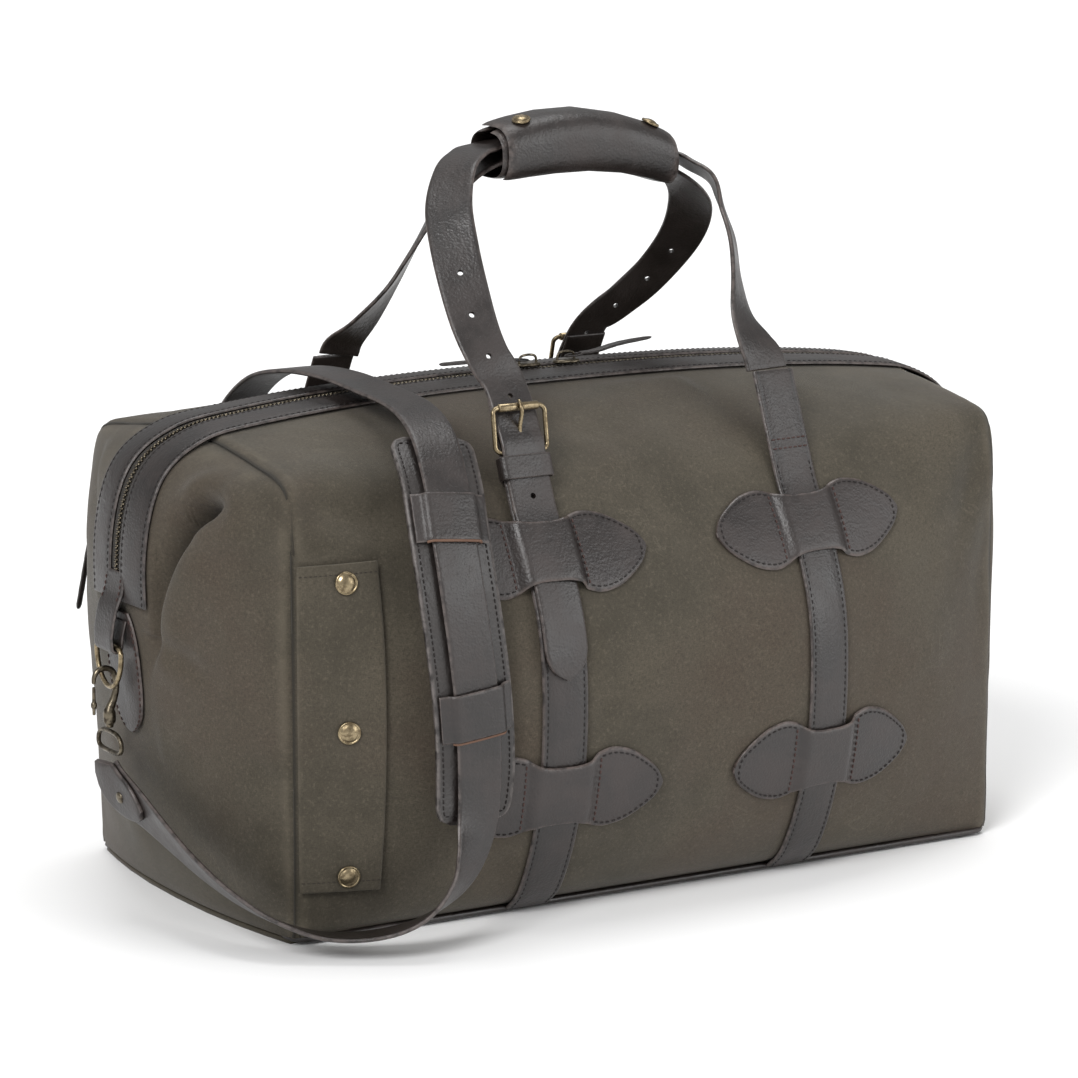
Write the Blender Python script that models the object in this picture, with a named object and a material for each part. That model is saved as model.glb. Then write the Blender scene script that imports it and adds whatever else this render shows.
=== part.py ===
"""Waxed canvas duffel bag with leather straps, roller buckles, a grip wrap and a shoulder strap.

Metres, +Z up. The origin is the middle of the bottom, on the surface that the bag stands on.
The bag's length runs along X, and its front faces -Y.
"""

import math

import bpy
import numpy as np

# ---- driving dimensions -------------------------------------------------------------------
HALF_LENGTH = 0.290        # seam of the end panels
HALF_DEPTH = 0.1525        # front face at the end seams
CANVAS = 0.003             # canvas and lining together
GAP = 0.0004               # air left between two pieces that touch
LEATHER = 0.0026           # thin leather: facings and patches
STRAP_LEATHER = 0.0032     # strap leather
STRAP_WIDTH = 0.034
STRAP_X = 0.109            # the handle straps' distance from the middle
ZIP_HALF = 0.0080          # half of the zip between the facings
FACING_WIDTH = 0.031
FRONT_PIVOT = (-0.128, 0.362)   # y and z of the line about which the front handle swings
BACK_PIVOT = (0.120, 0.356)
FLAP_HINGE = (0.0, -0.0275, 0.5030)     # a point of the line about which the grip's flap opens
END_TOP = 0.336            # ridge height at the end seams
WIRE = 0.0020              # radius of the rings' and buckles' wire

# The bag's outline across its middle and at an end seam, from the bottom edge to the zip.
MIDDLE_PROFILE = [
    (HALF_DEPTH, 0.0055), (0.1720, 0.0220), (0.1920, 0.0600), (0.2050, 0.1050), (0.2090, 0.1550),
    (0.2050, 0.2000), (0.1890, 0.2400), (0.1650, 0.2770), (0.1380, 0.3120), (0.0880, 0.3380),
    (0.0400, 0.3490), (ZIP_HALF, 0.3520),
]
END_PROFILE = [
    (HALF_DEPTH, 0.0055), (HALF_DEPTH, 0.0220), (HALF_DEPTH, 0.0600), (HALF_DEPTH, 0.1050),
    (HALF_DEPTH, 0.1550), (HALF_DEPTH, 0.2050), (HALF_DEPTH, 0.2500), (0.1510, 0.2900),
    (0.1400, 0.3170), (0.0950, 0.3270), (0.0400, 0.3340), (ZIP_HALF, END_TOP),
]
# How far an end bulges, and at which part of its height, from the bottom to the ridge.
END_BULGE = [
    (0.017, 0.000), (0.032, 0.149), (0.044, 0.357), (0.052, 0.565), (0.055, 0.744),
    (0.047, 0.878), (0.031, 0.952), (0.000, 1.000),
]


# ---- points -------------------------------------------------------------------------------
def spline(points, count):
    """Count points along a Catmull-Rom curve through the given ones."""
    points = [np.array(p, float) for p in points]
    points = [2 * points[0] - points[1]] + points + [2 * points[-1] - points[-2]]
    spans = len(points) - 3
    found = []
    for value in np.linspace(0, spans, count):
        i = min(int(value), spans - 1)
        t = value - i
        a, b, c, d = points[i : i + 4]
        found.append(
            0.5 * (2 * b + (c - a) * t + (2 * a - 5 * b + 4 * c - d) * t**2
                   + (3 * b - a - 3 * c + d) * t**3)
        )
    return found


def at(points, value):
    """The point of a Catmull-Rom curve at value, from 0 to 1."""
    points = [np.array(p, float) for p in points]
    points = [2 * points[0] - points[1]] + points + [2 * points[-1] - points[-2]]
    spans = len(points) - 3
    value = min(max(value, 0.0), 1.0) * spans
    i = min(int(value), spans - 1)
    t = value - i
    a, b, c, d = points[i : i + 4]
    return 0.5 * (2 * b + (c - a) * t + (2 * a - 5 * b + 4 * c - d) * t**2
                  + (3 * b - a - 3 * c + d) * t**3)


def unit(vector):
    vector = np.array(vector, float)
    return vector / np.linalg.norm(vector)


def fullness(x):
    """1 at the bag's middle, 0 at an end seam."""
    return 1 - min(abs(x) / HALF_LENGTH, 1.0) ** 2.6


def wall(side, x, s):
    """A point of the front (side -1) or back (side 1) panel, s from 0 at the bottom to 1."""
    full = fullness(x)
    y, z = full * at(MIDDLE_PROFILE, s) + (1 - full) * at(END_PROFILE, s)
    return np.array([x, side * y, z])


def wall_at_height(side, x, z):
    """The lower wall's s where the panel has this height."""
    low, high = 0.0, 1.0
    for _ in range(24):
        middle = (low + high) / 2
        if wall(side, x, middle)[2] < z:
            low = middle
        else:
            high = middle
    return (low + high) / 2


def wall_normal(side, x, s):
    step = 0.004
    along = wall(side, x + step, s) - wall(side, x - step, s)
    up = wall(side, x, min(s + 0.02, 1.0)) - wall(side, x, max(s - 0.02, 0.0))
    return unit(np.cross(along, up)) * (-side)


def arch_height(y):
    """Height of the end seam at this y, over its rounded corner."""
    y = min(abs(y), HALF_DEPTH)
    points = [END_PROFILE[i] for i in range(11, 5, -1)]
    for (y0, z0), (y1, z1) in zip(points, points[1:]):
        if y <= y1:
            return z0 + (z1 - z0) * max(0.0, (y - y0) / (y1 - y0))
    return points[-1][1]


def end_wall(side, y, v, inset=0.0, floor=0.0):
    """A point of the left (side -1) or right (side 1) end, v from 0 at the bottom to 1."""
    bulge, part = at(END_BULGE, v)
    across = 1 - (abs(y) / (HALF_DEPTH - inset)) ** 2.2
    top = arch_height(abs(y) + inset) - inset
    return np.array([side * (HALF_LENGTH + bulge * across), y, floor + part * (top - floor)])


def end_normal(side, y, v):
    step = 0.003
    over = end_wall(side, y + step, v) - end_wall(side, y - step, v)
    up = end_wall(side, y, min(v + 0.01, 1.0)) - end_wall(side, y, max(v - 0.01, 0.0))
    return unit(np.cross(over, up)) * side


def end_at_height(side, y, z):
    low, high = 0.0, 1.0
    for _ in range(24):
        middle = (low + high) / 2
        if end_wall(side, y, middle)[2] < z:
            low = middle
        else:
            high = middle
    return (low + high) / 2


# ---- solids -------------------------------------------------------------------------------
COLOURS = {
    "canvas": ((0.085, 0.078, 0.048), 0.85, 0.0),
    "leather": ((0.040, 0.028, 0.023), 0.50, 0.0),
    "pad": ((0.036, 0.026, 0.022), 0.55, 0.0),
    "brass": ((0.42, 0.33, 0.19), 0.35, 1.0),
    "dark_brass": ((0.22, 0.18, 0.12), 0.42, 1.0),
    "zip": ((0.05, 0.045, 0.035), 0.60, 0.0),
}


def material(slot, name):
    colour, roughness, metallic = COLOURS[slot]
    found = bpy.data.materials.new(name)
    found.use_nodes = True
    shader = found.node_tree.nodes["Principled BSDF"]
    shader.inputs["Base Color"].default_value = (*colour, 1)
    shader.inputs["Roughness"].default_value = roughness
    shader.inputs["Metallic"].default_value = metallic
    return found


def signed_volume(verts, faces):
    total = 0.0
    for face in faces:
        for i in range(1, len(face) - 1):
            a, b, c = verts[face[0]], verts[face[i]], verts[face[i + 1]]
            total += np.dot(a, np.cross(b, c))
    return total


def solid(name, slot, verts, faces, origin=(0, 0, 0), smooth=True):
    """A mesh object with its faces facing out and its origin where it turns or slides."""
    if signed_volume(verts, faces) < 0:
        faces = [tuple(reversed(face)) for face in faces]
    origin = np.array(origin, float)
    mesh = bpy.data.meshes.new(name)
    mesh.from_pydata([tuple(v - origin) for v in verts], [], [tuple(f) for f in faces])
    mesh.materials.append(material(slot, name))
    if smooth:
        mesh.shade_smooth()
        mesh.set_sharp_from_angle(angle=math.radians(40))
    made = bpy.data.objects.new(name, mesh)
    made.location = origin
    bpy.context.scene.collection.objects.link(made)
    return made


def shell(name, slot, outer, inner, keep=None, origin=(0, 0, 0)):
    """A sheet between two grids of points. keep(i, j) says which cells the sheet has."""
    rows, columns = len(outer), len(outer[0])
    cells = [
        (i, j)
        for i in range(rows - 1)
        for j in range(columns - 1)
        if keep is None or keep(i, j)
    ]
    number = {}
    verts = []

    def vertex(layer, i, j):
        if (layer, i, j) not in number:
            number[layer, i, j] = len(verts)
            verts.append(np.array((outer, inner)[layer][i][j], float))
        return number[layer, i, j]

    faces = []
    edges = {}
    for i, j in cells:
        ring = [(i, j), (i + 1, j), (i + 1, j + 1), (i, j + 1)]
        faces.append([vertex(0, *p) for p in ring])
        faces.append([vertex(1, *p) for p in reversed(ring)])
        for a, b in zip(ring, ring[1:] + ring[:1]):
            edges[a, b] = True
    for a, b in edges:
        if (b, a) not in edges:
            faces.append([vertex(0, *b), vertex(0, *a), vertex(1, *a), vertex(1, *b)])
    return solid(name, slot, verts, faces, origin)


def sweep(name, slot, rings, origin=(0, 0, 0), closed=False):
    """A solid through rings of points, with flat ends unless it closes on itself."""
    count = len(rings[0])
    verts = [np.array(p, float) for ring in rings for p in ring]
    faces = []
    spans = len(rings) if closed else len(rings) - 1
    for i in range(spans):
        k = (i + 1) % len(rings)
        for j in range(count):
            m = (j + 1) % count
            faces.append([i * count + j, i * count + m, k * count + m, k * count + j])
    if not closed:
        faces.append(list(reversed(range(count))))
        faces.append([(len(rings) - 1) * count + j for j in range(count)])
    return solid(name, slot, verts, faces, origin)


def tangents(points, closed=False):
    found = []
    last = len(points) - 1
    for i in range(len(points)):
        before = points[i - 1] if i or closed else points[0]
        after = points[i + 1] if i < last else points[0 if closed else last]
        found.append(unit(after - before))
    return found


def rod(name, slot, points, radius, sides=8, closed=False, origin=(0, 0, 0), start=(0, 0, 1)):
    """A round bar along the points. radius is one number, or one for each point."""
    points = [np.array(p, float) for p in points]
    radii = radius if isinstance(radius, (list, tuple)) else [radius] * len(points)
    across = np.array(start, float)
    rings = []
    for point, along, size in zip(points, tangents(points, closed), radii):
        across = unit(across - along * np.dot(across, along))
        third = np.cross(along, across)
        rings.append([
            point + size * (math.cos(a) * across + math.sin(a) * third)
            for a in (2 * math.pi * k / sides for k in range(sides))
        ])
    return sweep(name, slot, rings, origin, closed)


def ribbon(name, slot, centres, sides, widths, thickness, origin=(0, 0, 0)):
    """A flat strap along centres, its width along sides."""
    outer, inner = [], []
    for centre, along, side, width in zip(centres, tangents(centres), sides, widths):
        side = unit(side - along * np.dot(side, along))
        face = np.cross(side, along)
        outer.append([centre + face * thickness / 2 + side * width * k / 2 for k in (-1, 1)])
        inner.append([centre - face * thickness / 2 + side * width * k / 2 for k in (-1, 1)])
    return shell(name, slot, outer, inner, origin=origin)


def dome(name, slot, base, normal, radius, height, origin=None, sides=16):
    """A snap's cap: a low turned dome on a short edge."""
    normal = unit(normal)
    across = unit(np.cross(normal, (0, 0, 1)) if abs(normal[2]) < 0.9 else (1, 0, 0))
    third = np.cross(normal, across)
    rings = []
    for part, up in ((1.0, 0.0), (1.0, 0.30), (0.86, 0.62), (0.55, 0.88), (0.20, 1.0)):
        rings.append([
            base + normal * height * up
            + radius * part * (math.cos(a) * across + math.sin(a) * third)
            for a in (2 * math.pi * k / sides for k in range(sides))
        ])
    return sweep(name, slot, rings, base if origin is None else origin)


def united(base, others):
    """Joins helper solids onto base. The helpers themselves are left out of the model."""
    for other in others:
        joint = base.modifiers.new("join_" + other.name, "BOOLEAN")
        joint.operation = "UNION"
        joint.solver = "EXACT"
        joint.object = other
        other.hide_render = True
        other.display_type = "WIRE"
    return base


# ---- the canvas bag -----------------------------------------------------------------------
def canvas_panels():
    xs = [HALF_LENGTH * math.sin(math.pi / 2 * k / 8) for k in range(-8, 9)]
    heights = [k / 14 for k in range(15)]
    for side, name in ((-1, "front_panel"), (1, "back_panel")):
        outer = [[wall(side, x, s) for s in heights] for x in xs]
        inner = [
            [wall(side, x, s) - CANVAS * wall_normal(side, x, s) for s in heights]
            for x in xs
        ]
        for row, x in zip(inner, xs):
            for point in row:
                point[0] = x
        shell(name, "canvas", outer, inner)
    inset = CANVAS + GAP
    half = HALF_DEPTH - inset
    ys = [half * k for k in (-1, -0.95, -0.86, -0.68, -0.42, -0.18)]
    ys = ys + [-ZIP_HALF, ZIP_HALF] + [-y for y in reversed(ys)]
    levels = [0, 0.09, 0.18, 0.30, 0.42, 0.53, 0.64, 0.74, 0.82, 0.89, 0.95, 1.0]
    slit = ys.index(-ZIP_HALF)
    for side, name in ((-1, "left_end_panel"), (1, "right_end_panel")):
        outer = [[end_wall(side, y, v, inset, 0.0048) for v in levels] for y in ys]
        inner = [
            [point - (side * CANVAS, 0, 0) for point in row]
            for row in outer
        ]
        shell(name, "canvas", outer, inner, lambda i, j: i != slit or levels[j] < 0.5)


def bottom():
    """The flat bottom and the leather piping round its edge."""
    across = HALF_DEPTH - 0.0095

    def end_x(y, extra=0.0):
        return HALF_LENGTH + extra + 0.017 * (1 - (abs(y) / HALF_DEPTH) ** 2.2)

    ys = [across * math.sin(math.pi / 2 * k / 5) for k in range(-5, 6)]
    steps = (-1, -0.5, 0, 0.5, 1)
    upper = [[np.array([k * end_x(y, -0.0025), y, CANVAS]) for k in steps] for y in ys]
    lower = [[np.array([p[0], p[1], 0.0]) for p in row] for row in upper]
    shell("bottom_panel", "canvas", upper, lower)
    radius = 0.0019
    edge = HALF_DEPTH - 0.0053
    path = [(x, -edge, 0.0022) for x in np.linspace(-0.2885, 0.2885, 9)]
    turn = [(end_x(edge * math.sin(a), 0.0019), edge * math.sin(a), 0.0022)
            for a in np.linspace(-1.35, 1.35, 11)]
    path += turn + [(-x, -y, z) for x, y, z in path] + [(-x, -y, z) for x, y, z in turn]
    rod("bottom_piping", "leather", path, radius, 6, closed=True)


# ---- the zip and its facings --------------------------------------------------------------
def ridge(y, side_of_y, reach=0.52):
    """Points and outward normals of the bag's top at |y|, from the left end over to the right.

    reach is how far down the ends it goes, as a part of END_BULGE's course.
    """
    found = []
    v_steps = np.linspace(reach, 0.97, 11)
    for v in v_steps:
        found.append((end_wall(-1, side_of_y * y, v), end_normal(-1, side_of_y * y, v)))
    for x in [-0.2895] + list(np.linspace(-0.276, 0.276, 17)) + [0.2895]:
        low, high = 0.55, 1.0
        for _ in range(24):
            middle = (low + high) / 2
            if abs(wall(side_of_y, x, middle)[1]) > y:
                low = middle
            else:
                high = middle
        s = (low + high) / 2
        found.append((wall(side_of_y, x, s), wall_normal(side_of_y, x, s)))
    for v in reversed(v_steps):
        found.append((end_wall(1, side_of_y * y, v), end_normal(1, side_of_y * y, v)))
    return found


def lifted(line, height):
    return [point + normal * height for point, normal in line]


def facings():
    for side, name in ((-1, "front_facing"), (1, "back_facing")):
        lines = [
            ridge(ZIP_HALF + 0.0006 + FACING_WIDTH * k, side) for k in (0.0, 0.5, 1.0)
        ]
        outer = [lifted(line, 0.0006 + LEATHER) for line in lines]
        inner = [lifted(line, 0.0006) for line in lines]
        shell(name, "leather", outer, inner)


def zip_tape():
    """The closed zip: its tape between the facings, with the chain raised along the middle."""
    edges = (-0.0072, -0.0034, -0.0028, 0.0028, 0.0034, 0.0072)
    raised = (0.0012, 0.0012, 0.0030, 0.0030, 0.0012, 0.0012)
    middle = ridge(0.0080, 1, reach=0.56)
    outer, inner = [], []
    for y, height in zip(edges, raised):
        row = []
        under = []
        for point, normal in middle:
            flat = np.array([point[0], 0.0, point[2]])
            face = unit((normal[0], 0.0, normal[2]))
            row.append(flat + face * height + (0, y, 0))
            under.append(flat - face * 0.0006 + (0, y, 0))
        outer.append(row)
        inner.append(under)
    shell("zip_tape", "zip", outer, inner)


ZIP_TOP = 0.3552           # the chain's top at the bag's middle


def zip_slider(name, x, towards):
    """A slider on the chain, its nose towards the other one."""
    base = ZIP_TOP + 0.0005
    outline = [
        (-0.0110, 0.0040), (-0.0060, 0.0058), (0.0040, 0.0062), (0.0105, 0.0034),
        (0.0105, -0.0034), (0.0040, -0.0062), (-0.0060, -0.0058), (-0.0110, -0.0040),
    ]
    rings = []
    for z, size in ((0.0, 1.0), (0.0022, 1.0), (0.0030, 0.82)):
        rings.append([(x + towards * u * size, v * size, base + z) for u, v in outline])
    body = sweep(name, "brass", rings, (x, 0, base))
    bridge = rod(
        name + "_bridge", "brass",
        spline([(x - 0.0075, 0, base + 0.0015), (x - 0.0055, 0, base + 0.0078),
                (x + 0.0055, 0, base + 0.0078), (x + 0.0075, 0, base + 0.0015)], 11),
        0.0011, 6, start=(0, 1, 0),
    )
    united(body, [bridge])


def zip_pull(name, x, towards, lift):
    """A ring through the slider's bridge and the leather tab that hangs from it.

    It lies along the zip, its tip lifted by lift.
    """
    base = ZIP_TOP + 0.0005
    pivot = np.array((x, 0.0, base + 0.0048))
    loop = [
        pivot + (towards * (0.0070 + 0.0070 * math.cos(a)), 0.0042 * math.sin(a),
                 0.0010 * (1 + math.cos(a)) / 2)
        for a in (2 * math.pi * k / 14 for k in range(14))
    ]
    ring = rod(name, "leather", loop, 0.0009, 6, closed=True, origin=pivot)
    tip = 0.074
    route = spline([
        pivot + (towards * 0.0125, 0, 0.0012), pivot + (towards * 0.025, 0, 0.0020),
        pivot + (towards * 0.045, 0, 0.0024 + lift * 0.6), pivot + (towards * tip, 0, 0.0024 + lift),
    ], 9)
    widths = [0.0050, 0.0080, 0.0088, 0.0090, 0.0092, 0.0092, 0.0090, 0.0080, 0.0045]
    tab = ribbon(name + "_tab", "leather", route, [np.array((0, 1.0, 0))] * 9, widths, 0.0026)
    united(ring, [tab])


# ---- straps on the bag's faces ------------------------------------------------------------
def face_line(side, x, low, high, count, height, across=0.0):
    """Points on a face, from height low to high at x, lifted off the canvas and moved across."""
    first, last = wall_at_height(side, x, low), wall_at_height(side, x, high)
    found = []
    for s in np.linspace(first, last, count):
        found.append(wall(side, x + across, s) + wall_normal(side, x + across, s) * height)
    return found


def outward(side, along):
    """The face direction of a strap on the front or back that runs along the given way."""
    face = unit(np.cross((1.0, 0, 0), along))
    return face if face[1] * side > 0 else -face


def layer(name, columns, side, thickness):
    """A strap between columns of points on its underside and the same points lifted."""
    flow = tangents(columns[len(columns) // 2])
    outer = [
        [point + outward(side, along) * thickness for point, along in zip(column, flow)]
        for column in columns
    ]
    shell(name, "leather", outer, columns)


def free_end(side, x, across, pivot, start, top_gap):
    """Points from the canvas up to a gap under the pivot, straight but for a soft start."""
    end = np.array((x + across, pivot[0], pivot[1]))
    away = unit(start - end)
    first = end + away * top_gap
    return [first + (start - first) * k for k in (0.78, 0.56, 0.36, 0.16, 0.0)]


def base_strap(name, side, x, pivot, top_gap):
    """A strap sewn up the face, free above the upper patch, ending just under the pivot."""
    half = STRAP_WIDTH / 2
    columns = []
    for across in (-half, 0.0, half):
        course = face_line(side, x, 0.0075, 0.284, 18, 0.0006, across)
        columns.append(course + free_end(side, x, across, pivot, course[-1], top_gap))
    layer(name, columns, side, STRAP_LEATHER)
    return columns


def tail_strap(name, side, x, under):
    """The handle strap's end: under the roller, through the keeper and down over the base strap."""
    rise = STRAP_LEATHER + 0.0006
    flow = tangents(under[1])
    lifted_columns = [
        [point + outward(side, along) * rise for point, along in zip(column, flow)]
        for column in under
    ]
    kept = [i for i, point in enumerate(under[1]) if point[2] > 0.178]
    edge = (STRAP_WIDTH / 2 - 0.001) / (STRAP_WIDTH / 2)
    columns = []
    for column in lifted_columns:
        row = []
        for step, i in enumerate(kept):
            narrow = (0.30, 0.80, 1.0)[min(step, 2)] * edge
            across = x + (column[i][0] - x) * narrow
            line = [other[i] for other in lifted_columns]
            row.append(np.array([across] + [
                np.interp(across, [p[0] for p in line], [p[axis] for p in line]) for axis in (1, 2)
            ]))
        columns.append(row)
    layer(name, columns, side, STRAP_LEATHER)


PATCH_HALF = 0.079         # half length of a patch
PATCH_COURSE = [           # along it from the strap: part of the half length, half height
    (0.0, 0.0225), (0.232, 0.0240), (0.262, 0.0250), (0.42, 0.0300), (0.70, 0.0250),
    (0.90, 0.0125), (1.0, 0.0040),
]


def patch(name, side, x, z, stack):
    """A bow-shaped leather patch whose middle bridges over the straps, stack high."""
    course = [(-a, h) for a, h in reversed(PATCH_COURSE[1:])] + PATCH_COURSE
    middle = wall_at_height(side, x, z)
    per_metre = 0.01 / np.linalg.norm(
        wall(side, x, middle + 0.01) - wall(side, x, middle)
    )
    outer, inner = [], []
    for along, half in course:
        lift = stack if abs(along) < 0.25 else 0.0
        row, under = [], []
        for k in (-1, -0.5, 0, 0.5, 1):
            px = x + along * PATCH_HALF
            s = middle + k * half * per_metre
            point, normal = wall(side, px, s), wall_normal(side, px, s)
            row.append(point + normal * (0.0006 + LEATHER + lift))
            under.append(point + normal * (0.0006 + lift))
        outer.append(row)
        inner.append(under)
    shell(name, "leather", outer, inner)


# ---- handles ------------------------------------------------------------------------------
WRAP_COURSE = [(-0.050, 0.511), (-0.012, 0.516), (0.024, 0.517), (0.062, 0.511), (0.098, 0.499)]
WRAP_HALF_HEIGHT = [0.0150, 0.0172, 0.0178, 0.0166, 0.0150]
STACKED = 0.0058           # the straps' distance from the wrap's middle

FRONT_LEFT_LEG = [         # from the pivot up to the wrap: point, then the strap's width
    ((-0.109, -0.1280, 0.3620), (1, 0, 0)), ((-0.1095, -0.1245, 0.3700), (1, 0, 0)),
    ((-0.117, -0.117, 0.386), (1, -0.10, 0)),
    ((-0.120, -0.104, 0.406), (1, -0.25, 0)), ((-0.120, -0.088, 0.432), (1, -0.45, 0)),
    ((-0.117, -0.070, 0.458), (0.95, -0.62, 0)), ((-0.110, -0.050, 0.484), (0.75, -0.8, 0)),
    ((-0.092, -0.028, 0.506), (0.35, -1, 0)), ((-0.070, -0.010, 0.5145), (0.08, -1, 0)),
]
FRONT_RIGHT_LEG = [        # from the wrap down to the pivot
    ((0.113, -0.012, 0.4965), (-0.05, -1, 0)), ((0.122, -0.030, 0.4855), (-0.35, -1, 0)),
    ((0.122, -0.046, 0.464), (-0.6, -0.95, 0)), ((0.116, -0.066, 0.446), (-0.6, -0.86, 0)),
    ((0.107, -0.087, 0.423), (-0.62, -0.80, 0)), ((0.100, -0.106, 0.398), (-0.8, -0.6, 0)),
    ((0.102, -0.119, 0.380), (-0.97, -0.2, 0)), ((0.105, -0.1245, 0.3700), (-1, 0, 0)),
    ((0.1055, -0.1280, 0.3620), (-1, 0, 0)),
]
BACK_RIGHT_LEG = [         # from the pivot up to the wrap
    ((0.109, 0.1200, 0.3560), (-1, 0, 0)), ((0.1105, 0.1165, 0.3640), (-1, 0, 0)),
    ((0.129, 0.106, 0.380), (-1, 0.1, 0)), ((0.147, 0.090, 0.402), (-1, 0.3, 0)),
    ((0.154, 0.064, 0.430), (-0.9, 0.55, 0)), ((0.148, 0.040, 0.454), (-0.7, 0.8, 0)),
    ((0.131, 0.018, 0.4735), (-0.3, 1, 0)),
]
BACK_LEFT_LEG = [          # from the wrap down to the pivot
    ((-0.066, 0.010, 0.492), (0.15, 1, 0)), ((-0.076, 0.030, 0.468), (0.45, 0.9, 0)),
    ((-0.079, 0.055, 0.440), (0.55, 0.8, 0)), ((-0.083, 0.081, 0.410), (0.65, 0.7, 0)),
    ((-0.090, 0.104, 0.380), (0.9, 0.35, 0)), ((-0.097, 0.1165, 0.3640), (1, 0, 0)),
    ((-0.0975, 0.1200, 0.3560), (1, 0, 0)),
]


def handle(name, first_leg, last_leg, inside, pivot, side_in_wrap):
    stations = first_leg + [((x, 0.0, z), side_in_wrap) for x, z in inside] + last_leg
    centres = spline([p for p, _ in stations], 40)
    widths = [STRAP_WIDTH] * len(centres)
    sides = spline([unit(s) for _, s in stations], 40)
    ribbon(name, "leather", centres, sides, widths, STRAP_LEATHER, origin=(0, *pivot))


def handles():
    upper = [(x, z + STACKED) for x, z in WRAP_COURSE]
    lower = [(x, z - STACKED) for x, z in reversed(WRAP_COURSE)]
    handle("front_handle", FRONT_LEFT_LEG, FRONT_RIGHT_LEG, upper, FRONT_PIVOT, (0, -1, 0))
    handle("back_handle", BACK_RIGHT_LEG, BACK_LEFT_LEG, lower, BACK_PIVOT, (0, 1, 0))


def wrap_section(x, z, half_height, start, stop, grow, count):
    """Points round the grip at x, from angle start to stop, with 0 at the back and 90 on top."""
    half_width = 0.0218 + grow
    half_height = half_height + grow
    found = []
    for angle in np.radians(np.linspace(start, stop, count)):
        c, s = math.cos(angle), math.sin(angle)
        found.append(np.array((
            x,
            half_width * math.copysign(abs(c) ** 0.62, c),
            z + half_height * math.copysign(abs(s) ** 0.74, s),
        )))
    return found


def grip_wrap():
    """The wrap that holds both handle straps, and the flap that closes it with two snaps."""
    stations = [(x, z, h) for (x, z), h in zip(WRAP_COURSE, WRAP_HALF_HEIGHT)]
    course = spline(stations, 9)

    def section_at(x, start, stop, grow, count):
        z, half = (np.interp(x, [c[0] for c in course], [c[k] for c in course]) for k in (1, 2))
        return wrap_section(x, z, half, start, stop, grow, count)

    for name, start, stop, grow, count, shorter in (
        ("grip_wrap", -262, 82, 0.0, 25, 0.0),
        ("wrap_flap", 76, 160, LEATHER + 0.0010, 9, 0.003),
    ):
        xs = [c[0] for c in course]
        xs[0] += shorter
        xs[-1] -= shorter
        outer = [section_at(x, start, stop, grow + LEATHER, count) for x in xs]
        inner = [section_at(x, start, stop, grow, count) for x in xs]
        hinge = (0, *FRONT_PIVOT) if name == "grip_wrap" else FLAP_HINGE
        shell(name, "leather", outer, inner, origin=hinge)
    for name, x in (("wrap_snap_left", -0.030), ("wrap_snap_right", 0.078)):
        around = section_at(x, 95, 126, LEATHER * 2 + 0.0010, 3)
        along = section_at(x + 0.006, 95, 126, LEATHER * 2 + 0.0010, 3)[1] - around[1]
        normal = unit(np.cross(along, around[2] - around[0]))
        if normal[2] < 0:
            normal = -normal
        dome(name, "brass", around[1] + normal * 0.0024, normal, 0.0064, 0.0026, FLAP_HINGE)


# ---- buckles ------------------------------------------------------------------------------
def buckle(prefix, side, under):
    """A roller buckle on a base strap: frame, roller, tongue and the keeper below."""
    top, low = under[-1], under[-4]
    along = unit(top - low)
    face = outward(side, along)
    over = STRAP_LEATHER * 2 + 0.0010

    def place(across, up, out):
        return top + along * up + face * out + np.array((across, 0, 0))

    roller_radius = 0.0030
    bar = over + roller_radius + 0.0004
    half_width, length = 0.0210, 0.0330
    frame_path = []
    corner = 0.005
    for cx, cy, first in ((1, 0, 0), (-1, 0, 90), (-1, -1, 180), (1, -1, 270)):
        for angle in (first, first + 45, first + 90):
            a = math.radians(angle)
            frame_path.append(place(
                cx * (half_width - corner) + corner * math.cos(a),
                -0.0075 + cy * (length - 2 * corner) - corner + corner * math.sin(a),
                bar,
            ))
    rod(prefix + "_buckle_frame", "brass", frame_path, 0.0019, 8, closed=True, start=face)
    axis_up = -0.0075
    reach = half_width - corner - 0.0004
    rings_out, rings_in = [], []
    for across in (-reach, reach):
        rings_out.append([
            place(across, axis_up + roller_radius * math.sin(a), bar + roller_radius * math.cos(a))
            for a in (2 * math.pi * k / 12 for k in range(12))
        ])
        rings_in.append([
            place(across, axis_up + 0.00235 * math.sin(a), bar + 0.00235 * math.cos(a))
            for a in (2 * math.pi * k / 12 for k in range(12))
        ])
    verts = rings_out[0] + rings_out[1] + rings_in[0] + rings_in[1]
    faces = []
    for k in range(12):
        m = (k + 1) % 12
        faces.append((k, m, 12 + m, 12 + k))
        faces.append((24 + m, 24 + k, 36 + k, 36 + m))
        faces.append((m, k, 24 + k, 24 + m))
        faces.append((12 + k, 12 + m, 36 + m, 36 + k))
    axis_point = place(0, axis_up, bar)
    solid(prefix + "_roller", "brass", verts, faces, origin=axis_point)
    hinge = place(0, -0.0075 - length, bar)
    tongue_path = spline([
        place(0, -0.0075 - length + 0.0040 + 0.0030, bar + 0.0002),
        place(0, -0.0250, bar + 0.0012),
        place(0, -0.0150, bar + 0.0038),
        place(0, -0.0060, bar + roller_radius + 0.0024),
        place(0, -0.0010, bar + roller_radius + 0.0022),
    ], 9)
    rod(prefix + "_tongue", "brass", tongue_path, [0.0014] * 8 + [0.0009], 6,
        origin=hinge, start=(1, 0, 0))
    keeper(prefix + "_keeper", top - along * 0.0508, along, face)


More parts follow.
